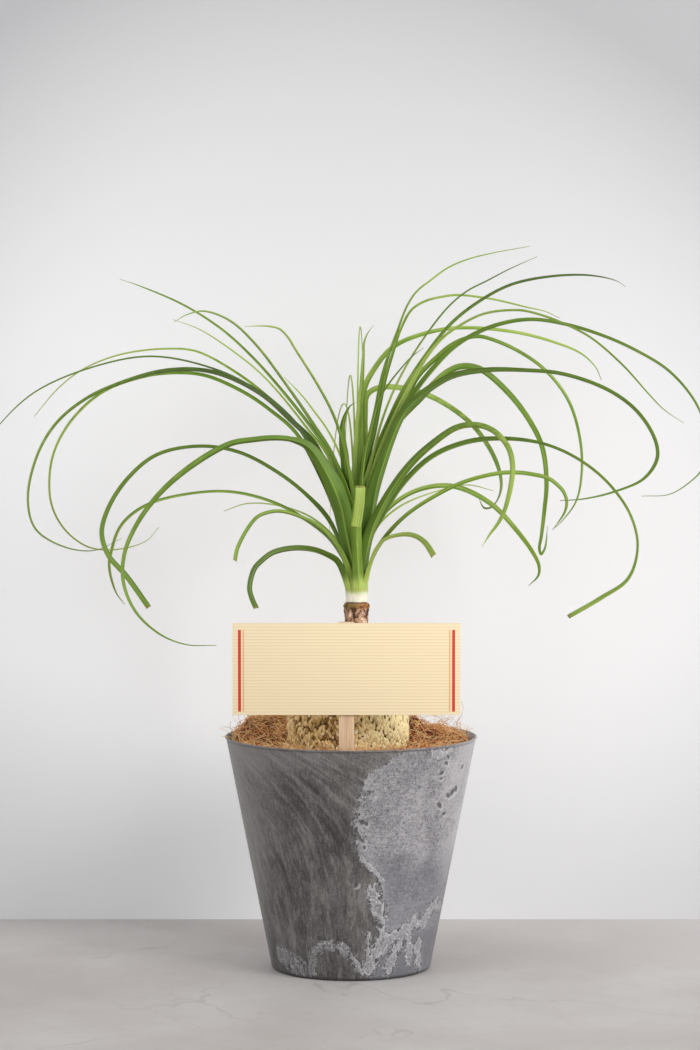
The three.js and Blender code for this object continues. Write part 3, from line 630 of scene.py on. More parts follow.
# %% The pot's finish
def pot_finish():
    stone = Finish("pot_stone_finish")
    step, line, grain, place, stretched = stone.step, stone.line, stone.grain, stone.place, stone.stretched
    x, y, z = stone.axes(place)
    # The dark mix is drawn out in streaks that start on a slant at the rim and end upright.
    twist = z ** 4.0 * 250.0
    sine, cosine = stone.maths("SINE", twist), stone.maths("COSINE", twist)
    swirl_place = stone.joined(x * cosine - y * sine, x * sine + y * cosine, z * 0.13)
    swirl = grain(swirl_place, 110.0, detail=6.0, roughness=0.72, distortion=0.5)
    brushed = grain(stretched(1, 1, 0.08), 480.0, detail=3.0, roughness=0.6)
    combed = grain(stretched(0.22, 0.22, 1), 560.0, detail=3.0, roughness=0.6)
    cloud = grain(place, 16.0, detail=5.0, roughness=0.6)
    fine = grain(place, 430.0, detail=4.0, roughness=0.75)
    torn = grain(place, 95.0, detail=6.0, roughness=0.68, distortion=0.3)
    flame = grain(stretched(1, 1, 0.4), 190.0, detail=5.0, roughness=0.72)
    crackle = grain(stretched(1, 1, 0.7), 150.0, detail=5.0, roughness=0.66, distortion=1.2)
    lines = line(crackle - 0.5, 0.035, 0.008)

    level = swirl * 0.52 + brushed * 0.26 + cloud * 0.35 + fine * 0.32 - 0.25
    # Painted sheen: the dark mix is lighter at its left edge, and it is also lighter towards the top.
    level = level + step(x, -60 * MM, -125 * MM) * 0.14 + step(z, 205 * MM, 245 * MM) * 0.08
    dark = stone.blend(step(level, 0.32, 0.7), (54, 51, 50), (136, 132, 130))
    dark = stone.blend(line(swirl - 0.5, 0.03, 0.008) * 0.3, dark, (54, 51, 50))

    # Painted sheen: the pale mix is lighter at its right edge.
    level = cloud * 0.5 + fine * 0.5 + combed * 0.26 - 0.13 + step(x, 80 * MM, 125 * MM) * 0.13
    blue_zone = step(z, 150 * MM, 110 * MM)
    pale = stone.layers(
        stone.blend(step(level, 0.34, 0.66), (100, 98, 102), (186, 183, 187)),
        (blue_zone * 0.45, (106, 108, 117)),
        (lines * (1.0 - blue_zone * 0.8) * step(flame, 0.36, 0.56) * 0.4, (206, 204, 207)),
        (step(crackle * 0.6 + fine * 0.4, 0.44, 0.38) * 0.4, (84, 82, 86)),
        (step(z + (torn - 0.5) * 0.05, 56 * MM, 40 * MM) * 0.55, (92, 93, 99)))

    # The torn edge between the mixes has a painted shadow along it and a pale fringe on it.
    into_pale = stone.attribute("pale_side")
    ragged = into_pale + (torn - 0.5) * (0.026 + step(z, 150 * MM, 200 * MM) * 0.03)
    shadow = line(ragged + 2.6 * MM, 2.4 * MM, 0.6 * MM)
    fringe = line(ragged, 1.4 * MM, 0.4 * MM) * step(flame, 0.4, 0.56)
    torn_zone = step(into_pale, -12 * MM, 2 * MM) * step(into_pale, 34 * MM, 10 * MM)
    torn_zone = torn_zone * step(z, 120 * MM, 150 * MM)
    # A frosted mark is a lace: patches with a bright crinkled edge and a painted shadow outside it.
    near_frost = step(stone.attribute("frost"), 0.0, 0.25)
    lace = stone.attribute("frost") + (torn - 0.5) * 3.0 + (flame - 0.5) * 1.6
    frosty = step(lace, 0.5, 0.58) * near_frost
    # Painted shadow just outside each frosted mark.
    outside = line(lace - 0.38, 0.14, 0.04) * near_frost
    crinkle = line(lace - 0.6, 0.13, 0.04) * near_frost
    marked = stone.maths("MAXIMUM", torn_zone * 0.9, near_frost)
    on_pale = step(x, -20 * MM, 25 * MM) * 0.6 + 0.4
    # A pit has a chipped outline, painted shade inside it and a painted highlight on its rim to one side.
    pit, pit_rim = stone.attribute("pit"), stone.attribute("pit_rim")
    chipped = (torn - 0.5) * 1.0 + (flame - 0.5) * 0.5
    lit_rim = step(pit_rim + chipped, 0.12, 0.26) * step(pit_rim, 0.0, 0.08)
    # Painted shade inside each pit.
    hollow_shade = step(pit + chipped, 0.16, 0.6) * step(pit, 0.0, 0.1)

    body = stone.layers(
        stone.blend(step(ragged, -0.001, 0.0012), dark, pale),
        (shadow * 0.4, (58, 56, 58)),
        (fringe * 0.7, (196, 193, 197)),
        (outside * on_pale * 0.8, (62, 61, 65)),
        (frosty * on_pale * (step(fine, 0.38, 0.6) * 0.4 + 0.12), (190, 188, 192)),
        (crinkle * on_pale * 0.75, (220, 218, 221)),
        (marked * lines * 0.7, (212, 210, 213)),
        (lit_rim * on_pale * 0.5, (208, 206, 209)),
        (hollow_shade * 0.85, (60, 58, 61)),
        # Painted shade just under the lip, then a painted highlight along the lip.
        (step(z, POT_HEIGHT - 4.2 * MM, POT_HEIGHT - 2.6 * MM) * 0.32, (74, 73, 76)),
        (step(z, POT_HEIGHT - 2.1 * MM, POT_HEIGHT - 1.5 * MM) * 0.1, (164, 156, 149)),
        # Painted contact shadow along the foot.
        (step(z, 5 * MM, 1.5 * MM) * 0.7, (48, 46, 48)))
    relief = swirl * 0.3 + brushed * 0.2 + combed * 0.15 + fine * 0.5 + frosty * 0.5
    relief = relief + lines * (0.2 + marked * 0.5)
    return stone.surface(body, 0.34 + fine * 0.14 + frosty * 0.1, relief, 0.5 * MM, Specular_IOR_Level=0.5)


pot_paint = pot_finish()
print("the pot's finish has", len(pot_paint.node_tree.nodes), "nodes")

# %% The pot
pot_points, pot_faces = turned(pot_profile(), POT_SEGMENTS, pressed_wall)
pot_mesh = mesh_of("pot_marbled", pot_points, pot_faces)
pot_angle, pot_level = front_angle(pot_points[:, 0], pot_points[:, 1]), pot_points[:, 2]
for label, values in {"pale_side": pale_side(pot_angle, pot_level), "frost": frost(pot_angle, pot_level),
                      "pit": pits(pot_angle, pot_level),
                      "pit_rim": pits(pot_angle, pot_level, RIM_ASIDE)}.items():
    add_values(pot_mesh, label, values)
dress(pot_mesh, pot_paint, "pot_stone", "pot")

# %% [markdown]
# ## Soil
# The soil is hidden under the coir, so the CAD solid stays as it is and only gets the finish of damp
# crumbly earth.

# %% Soil
def soil_finish():
    earth = Finish("soil_finish")
    crumb = earth.grain(earth.place, 260.0, detail=6.0, roughness=0.7)
    colour = earth.blend(earth.step(crumb, 0.35, 0.65), (44, 32, 24), (92, 70, 52))
    return earth.surface(colour, 0.95, crumb, 1.5 * MM)


def repaint(node, finish):
    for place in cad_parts[node].material_slots:
        place.material = finish
    print(node, "repainted")


repaint("soil", soil_finish())

# %% [markdown]
# ## Coir mulch
# Coir is the fibre of coconut husks. It lies as a loose springy mat: low in front, heaped up beside and
# behind the trunk. The mat is a lumpy mound, and thousands of short bent fibres are grown on it, each a
# three-sided tube with its own curve. A few long pale ones stand up from the rest.

# %% The height of the mound
BULB_RADIUS = 66 * MM
MULCH_FOOT = 222.3 * MM
MULCH_FRONT = 240 * MM
MULCH_BACK = 266 * MM
MULCH_BACK_RIGHT = 254 * MM
MULCH_EDGE = 243.5 * MM
MULCH_RELIEF = 1.6 * MM


def mulch_height(x, y):
    radius, angle = np.hypot(x, y), np.arctan2(y, x)
    to_right = smooth(-30 * MM, 55 * MM, x)
    to_back = smooth(-24 * MM, 14 * MM, y)
    crest = mix(MULCH_FRONT, mix(MULCH_BACK, MULCH_BACK_RIGHT, to_right), to_back)
    edge = mix(MULCH_FRONT, MULCH_EDGE, to_back)
    brow = mix(108 * MM, 92 * MM, to_right)
    heap = (MULCH_BACK - MULCH_BACK_RIGHT) * to_back * to_right * (1 - smooth(70 * MM, 86 * MM, radius))
    wall = pot_wall_radius(POT_HEIGHT) - POT_WALL + 6 * MM
    lumps = np.sin(angle * 7 + radius * 130) * np.sin(radius * 310 + angle * 3)
    lumps = lumps + 0.6 * np.sin(angle * 17 - radius * 220)
    return mix(crest, edge, smooth(brow, wall, radius)) + heap + MULCH_RELIEF * lumps


for place, (x, y) in {"in front": (0, -90 * MM), "behind": (0, 90 * MM)}.items():
    print("the coir lies", round(float(mulch_height(x, y)) / MM), "mm high", place)

# %% The mound
MOUND_SEGMENTS = 200
MOUND_RINGS = 46
MAT_TONE = 0.25


def fractal(points, scale, octaves):
    """Soft noise from -1 to 1 at each point."""
    return np.array([noise.fractal(Vector(p) * scale, 1.0, 2.0, octaves) for p in points])


def mound_mesh():
    outer = pot_wall_radius(MULCH_EDGE) - POT_WALL + 1.2 * MM
    rings = np.linspace(outer, BULB_RADIUS - 10 * MM, MOUND_RINGS)
    profile = [(0, MULCH_FOOT), (outer - 6 * MM, MULCH_FOOT), *[(r, MULCH_BACK) for r in rings],
               (0, MULCH_BACK)]
    points, faces = turned(profile, MOUND_SEGMENTS)
    on_top = points[:, 2] > MULCH_BACK - MM
    top = points[on_top]
    rough = fractal(top, 160.0, 4) * 2.2 * MM + fractal(top, 45.0, 2) * 1.5 * MM
    points[on_top, 2] = mulch_height(top[:, 0], top[:, 1]) + rough - 1.0 * MM
    return mesh_of("coir_mat", points, faces)


def coir_finish(name, dark, light, tip):
    coir = Finish(name)
    strand = coir.grain(coir.place, 210.0, detail=5.0, roughness=0.7)
    patch = coir.grain(coir.place, 38.0, detail=3.0)
    tone = coir.attribute("tone")
    # Painted light: the coir is lighter towards the left.
    left_painted_light = coir.step(coir.axes(coir.place)[0], -20 * MM, -70 * MM)
    level = strand * 0.4 + patch * 0.6 + (tone - 0.5) * 0.45 + left_painted_light * 0.08
    colour = coir.blend(coir.step(level, 0.38, 0.6), dark, light)
    colour = coir.blend(coir.step(tone, 0.82, 1.0) * 0.6, colour, tip)
    return coir.surface(colour, 0.85, strand, 0.6 * MM)


mat = mound_mesh()
add_values(mat, "tone", np.full(len(mat.vertices), MAT_TONE))
dress(mat, coir_finish("coir_mat_finish", (92, 48, 24), (204, 130, 74), (214, 150, 98)),
      "coir_orange", "coir_mulch")

# %% A recipe for loose fibres
WALL_CLEARANCE = 7 * MM


def kept_inside(coir):
    """The place of a fibre's point, drawn in to the pot's inside unless it is above the rim."""
    x, y, z = coir.axes(coir.place())
    reach = coir.maths("SQRT", x * x + y * y)
    limit = z * ((POT_RIM_RADIUS - POT_BASE_RADIUS) / POT_HEIGHT) + (POT_BASE_RADIUS - WALL_CLEARANCE)
    inside = coir.maths("MINIMUM", limit / reach, 1.0)
    above = coir.step(z, POT_HEIGHT + 0.2 * MM, POT_HEIGHT + 1.2 * MM)
    share = inside + (1.0 - inside) * above
    return coir.joined(x * share, y * share, z)


def fibre_recipe():
    coir = Recipe("loose_fibres", spacing=2.9 * MM, length=17 * MM, radius=0.3 * MM, bend=7 * MM,
                  lift_degrees=16.0, points_along=6, seed=3)
    seed = coir.given("seed")
    upward = coir.axes(coir.node("GeometryNodeInputNormal"))[2]
    x, y, _ = coir.axes(coir.place())
    reach = coir.maths("SQRT", x * x + y * y)
    growing = coir.maths("GREATER_THAN", upward, 0.2) * coir.maths("GREATER_THAN", reach, BULB_RADIUS)
    lift = coir.given("lift_degrees") * (math.pi / 180)
    tilt = (coir.chance(0.0, 1.0, seed + 2) - 0.35) * lift
    spin = coir.chance(0.0, 2 * math.pi, seed + 3)
    half = coir.given("length") * 0.5
    strand = coir.node("GeometryNodeCurvePrimitiveLine", inputs={
        "Start": coir.joined(half * -1.0), "End": coir.joined(half)})
    strand = coir.node("GeometryNodeResampleCurve", inputs={
        "Curve": strand, "Count": coir.given("points_along")})
    strands = coir.scattered(growing, coir.joined(0.0, tilt, spin), strand, coir.chance(0.5, 1.5, seed + 4))
    tone = coir.named("tone")
    wave_place = coir.vector("ADD", coir.place(), coir.joined(tone * 3.1, tone * 7.7, tone * 5.3))
    push = coir.jitter(wave_place, 55.0, 1.0, (0.5, 0.5, 0.42), coir.given("bend") * 2.0)
    strands = coir.moved(coir.moved(strands, Offset=push), Position=kept_inside(coir))
    thin = 1.0 - coir.maths("ABSOLUTE", coir.node("GeometryNodeSplineParameter") - 0.5) * 1.2
    strands = coir.node("GeometryNodeSetCurveRadius", inputs={"Curve": strands, "Radius": thin})
    section = coir.node("GeometryNodeCurvePrimitiveCircle", inputs={
        "Resolution": 3, "Radius": coir.given("radius")})
    coir.close(coir.node("GeometryNodeCurveToMesh", inputs={
        "Curve": strands, "Profile Curve": section, "Fill Caps": True}))
    return coir


loose_fibres = fibre_recipe()
print("the fibre recipe has", len(loose_fibres.tree.nodes), "nodes")

# %% Growing the fibres
fibre_paint = coir_finish("coir_fibre_finish", (222, 136, 78), (255, 216, 150), (255, 242, 204))
long_paint = coir_finish("coir_long_finish", (220, 160, 100), (250, 208, 152), (252, 228, 186))
long_sizes = {"spacing": 9.5 * MM, "length": 36 * MM, "radius": 0.3 * MM, "bend": 14 * MM,
              "lift_degrees": 62.0, "points_along": 12, "seed": 11}
stray_sizes = {"spacing": 21 * MM, "length": 52 * MM, "radius": 0.26 * MM, "bend": 20 * MM,
               "lift_degrees": 125.0, "points_along": 14, "seed": 29}
for name, finish, sizes in (("coir_fibres", fibre_paint, {}), ("coir_long_strands", long_paint, long_sizes),
                            ("coir_stray_strands", long_paint, stray_sizes)):
    declare(loose_fibres.grow(name, mat, finish, **sizes), "coir_orange", "coir_mulch")

# %% [markdown]
# ## The swollen trunk
# The foot of a ponytail palm swells into a bulb that stores water. Its bark is cork that has cracked
# into small raised flakes, taller than they are wide. The stem above is slim, brown and mottled, with
# rings where old leaves have dropped, and it ends in a ragged collar of dry leaf bases. The body is
# turned from a profile and roughened; the flakes are then grown on it one by one, because their rounded
# edges and dark gaps are what makes bark look like bark.

# %% The trunk's outline
TRUNK_FOOT = 186 * MM
BULB_WIDEST = 250 * MM
STEM_TOP = 392 * MM
BULB_OFFSET = -3.5 * MM
STEM_OFFSET = 6 * MM

TRUNK_PROFILE_MM = [
    (0, 186), (24, 188), (45, 196), (59, 212), (65, 230), (66, 250), (65, 264), (62, 277), (56, 290),
    (47, 302), (36, 314), (26, 327), (19, 342), (15, 358), (13, 372), (13, 382), (13, 386),
    (12.9, 389.6), (12.0, 391.7), (9, 392), (0, 392),
]


def through(points, steps):
    """A centripetal Catmull-Rom curve through points, with this many steps from each to the next."""
    points = [Vector(p) for p in points]
    ends = [points[0] * 2 - points[1], *points, points[-1] * 2 - points[-2]]
    found = []
    for p0, p1, p2, p3 in zip(ends, ends[1:], ends[2:], ends[3:]):
        t1 = max((p1 - p0).length, 1e-6) ** 0.5
        t2 = t1 + max((p2 - p1).length, 1e-6) ** 0.5
        t3 = t2 + max((p3 - p2).length, 1e-6) ** 0.5
        for step in range(steps):
            t = mix(t1, t2, step / steps)
            a1 = p0 * ((t1 - t) / t1) + p1 * (t / t1)
            a2 = p1 * ((t2 - t) / (t2 - t1)) + p2 * ((t - t1) / (t2 - t1))
            a3 = p2 * ((t3 - t) / (t3 - t2)) + p3 * ((t - t2) / (t3 - t2))
            b1 = a1 * ((t2 - t) / t2) + a2 * (t / t2)
            b2 = a2 * ((t3 - t) / (t3 - t1)) + a3 * ((t - t1) / (t3 - t1))
            found.append(b1 * ((t2 - t) / (t2 - t1)) + b2 * ((t - t1) / (t2 - t1)))
    return [*found, points[-1]]


print("the trunk's outline has", len(TRUNK_PROFILE_MM), "points")

# %% The trunk's body
TRUNK_SEGMENTS = 220
TRUNK_TONE = 0.3
BARK_INSET = 0.7 * MM
BARK_ENDS = (330 * MM, 350 * MM)
RINGS_FROM = (BULB_WIDEST + 80 * MM, BULB_WIDEST + 115 * MM)
RING_RATE = 1150


def trunk_offset(height):
    return mix(BULB_OFFSET, STEM_OFFSET, smooth(BULB_WIDEST + 25 * MM, STEM_TOP - 20 * MM, height))


def roughened(turn, radius, height):
    spots = np.stack([np.cos(turn) * radius, np.sin(turn) * radius, height * 0.7], axis=1)
    cork = fractal(spots, 190.0, 4)
    knots = fractal(spots, 45.0, 2)
    on_stem = smooth(*RINGS_FROM, height)
    rings = np.sin(height * RING_RATE + np.sin(turn * 3) * 1.2 + knots * 2)
    bulb_relief = cork * 1.0 * MM + knots * 1.2 * MM - BARK_INSET
    stem_relief = (rings * 0.2 + cork * 0.8 + knots * 1.2) * MM + 0.1 * MM
    return radius + mix(bulb_relief, stem_relief, on_stem)


def trunk_mesh():
    outline = [(p.x * MM, p.y * MM) for p in through([(r, h, 0) for r, h in TRUNK_PROFILE_MM], 8)]
    outline[0], outline[-1] = (0, TRUNK_FOOT), (0, STEM_TOP)
    points, faces = turned(outline, TRUNK_SEGMENTS, roughened)
    points[:, 0] += trunk_offset(points[:, 2])
    mesh = mesh_of("trunk_body", points, faces)
    heights = np.array([v.co.z for v in mesh.vertices])
    add_values(mesh, "tone", np.full(len(heights), TRUNK_TONE))
    add_values(mesh, "crack", 1 - smooth(*BARK_ENDS, heights))
    return mesh


trunk = trunk_mesh()
print("the trunk's mesh has", len(trunk.vertices), "points")

# %% The bark
STEM_BARK_FROM = (332 * MM, 362 * MM)
COLLAR_FROM = (385.5 * MM, 388 * MM)


def bark_finish():
    bark = Finish("bark_finish")
    step, grain = bark.step, bark.grain
    x, _, z = bark.axes(bark.place)
    cork = grain(bark.stretched(1, 1, 0.6), 260.0, detail=5.0, roughness=0.68)
    patch = grain(bark.place, 26.0, detail=4.0, roughness=0.6)
    blotch = grain(bark.stretched(1, 1, 0.8), 95.0, detail=5.0, roughness=0.62, distortion=0.4)
    mottle = grain(bark.place, 240.0, detail=4.0, roughness=0.65)
    tone = bark.attribute("tone")
    level = tone * 0.62 + cork * 0.3 + patch * 0.35 - 0.15
    bulb = bark.layers(
        bark.blend(step(level, 0.16, 0.6), (124, 88, 38), (246, 212, 146)),
        (step(patch, 0.5, 0.68) * 0.25, (204, 180, 104)),
        # Painted light: the bulb is lighter towards the right.
        (step(x, -25 * MM, 40 * MM) * (step(level, 0.1, 0.5) * 0.55 + 0.45), (255, 238, 184)),
        (step(tone, 0.72, 0.96) * 0.75, (250, 232, 188)),
        (step(bark.attribute("crack"), 0.2, 0.8), (98, 64, 30)))
    level = blotch * 0.75 + mottle * 0.35 - 0.05
    stem = bark.layers(bark.blend(step(level, 0.44, 0.51), (76, 52, 38), (188, 146, 116)),
                       (step(level, 0.53, 0.59), (236, 208, 186)))
    scale = bark.layers(bark.blend(step(x, 0.0, 14 * MM), (142, 124, 60), (206, 132, 66)),
                        (step(tone, 0.55, 0.0), (104, 66, 34)))
    collar = step(z + (mottle - 0.5) * 5 * MM, *COLLAR_FROM)
    colour = bark.layers(bulb, (step(z, *STEM_BARK_FROM), stem), (collar * 0.85, scale))
    return bark.surface(colour, 0.88, cork + mottle * 0.5, 0.8 * MM)


bark_paint = bark_finish()
dress(trunk, bark_paint, "cork_bark", "trunk")

# %% A recipe for bark flakes
FLAKES_FROM, FLAKES_TO = 230 * MM, 352 * MM
FLAKES_NARROW_FROM = 290 * MM
SCALES_FROM, SCALES_TO = 387 * MM, 391 * MM
FLAKE_LEAN = (0.22, 0.2, 0.6)
FLAKE_RAGGEDNESS = 2.1 * MM


def flake_recipe():
    bark = Recipe("bark_flakes", low=FLAKES_FROM, high=FLAKES_TO, spacing=3.3 * MM, width=2.4 * MM,
                  stretch=1.25, tilt=0.0, seed=5)
    seed = bark.given("seed")
    _, _, height = bark.axes(bark.place())
    in_reach = bark.maths("GREATER_THAN", height, bark.given("low"))
    in_reach = in_reach * bark.maths("LESS_THAN", height, bark.given("high"))
    lean = bark.chance(tuple(-most for most in FLAKE_LEAN), FLAKE_LEAN, seed + 2)
    lean = bark.vector("ADD", lean, bark.joined(bark.given("tilt")))
    narrowing = 1.0 - bark.step(height, FLAKES_NARROW_FROM, FLAKES_TO) * 0.5
    size = bark.vector("MULTIPLY", bark.chance((0.7, 0.75, 0.7), (1.35, 1.5, 1.3), seed + 3),
                       bark.joined(1.0, bark.given("stretch"), 0.8))
    size = bark.scaled(size, bark.given("width") * narrowing)
    flake = bark.node("GeometryNodeMeshCone", {"fill_type": "NGON"}, {
        "Vertices": 6, "Side Segments": 1, "Radius Top": 0.78, "Radius Bottom": 1.05, "Depth": 0.5})
    solid = bark.scattered(in_reach, lean, flake, size, crack=0.0)
    push = bark.jitter(bark.place(), 300.0, 3.0, (0.5, 0.5, 0.5), FLAKE_RAGGEDNESS)
    bark.close(bark.moved(solid, Offset=push))
    return bark


bark_grower = flake_recipe()
print("the flake recipe has", len(bark_grower.tree.nodes), "nodes")

# %% Growing the flakes and the collar's scales
scale_sizes = {"low": SCALES_FROM, "high": SCALES_TO, "spacing": 1.8 * MM, "width": 1.7 * MM,
               "stretch": 1.7, "tilt": -0.3, "seed": 21}
for name, sizes in (("bark_flakes", {}), ("collar_scales", scale_sizes)):
    declare(bark_grower.grow(name, trunk, bark_paint, **sizes), "cork_bark", "trunk")

# %% [markdown]
# ## The leaves
# A leaf is a strap up to 0.7 metres long. At its foot it is a white sheath, curved round the growing
# point; it turns lime, then green, folds into a channel with a pale midrib, and arches over under its
# own weight to a long thin point. Some leaves were trimmed and end blunt and dry.
#
# Python works out the rail of each leaf: the points of its midrib, which way its two edges lie, and how
# wide, deep and thick it is there. A Geometry Nodes recipe then wraps a closed section round every point
# of the rail. The leaves take the same ways as the CAD solids, and their widths are those that show from
# the front.

# %% The leaf table, in millimetres
# The ways are drawn as seen from this far in front and from this high up, and their heights are
# counted from this far above the floor.
SEEN_FROM = 3355
SEEN_AT = 647
WAY_DATUM = 2
SEEN_AT_SHARES = (0.04, 0.2, 0.5, 0.92)


def leaf(seat, seen, twist, way, tip=0, plane=None, cut=False, tone=0.0, seen_at=SEEN_AT_SHARES):
    """One leaf, from the bearing and height of its seat to its tip.

    It shows the widths in seen at the shares of its length in seen_at. Its way is drawn from the front, as
    points to the right and up, and ends tip behind the middle. With a plane, its points go out and up in
    the upright plane on that bearing. A pair of tones is that of its near half and of its far half."""
    tone = tone if isinstance(tone, tuple) else (tone, tone)
    return {"seat": seat, "seen": seen, "twist": twist, "way": way, "tip": tip, "plane": plane,
            "cut": cut, "tone": tone, "seen_at": seen_at}


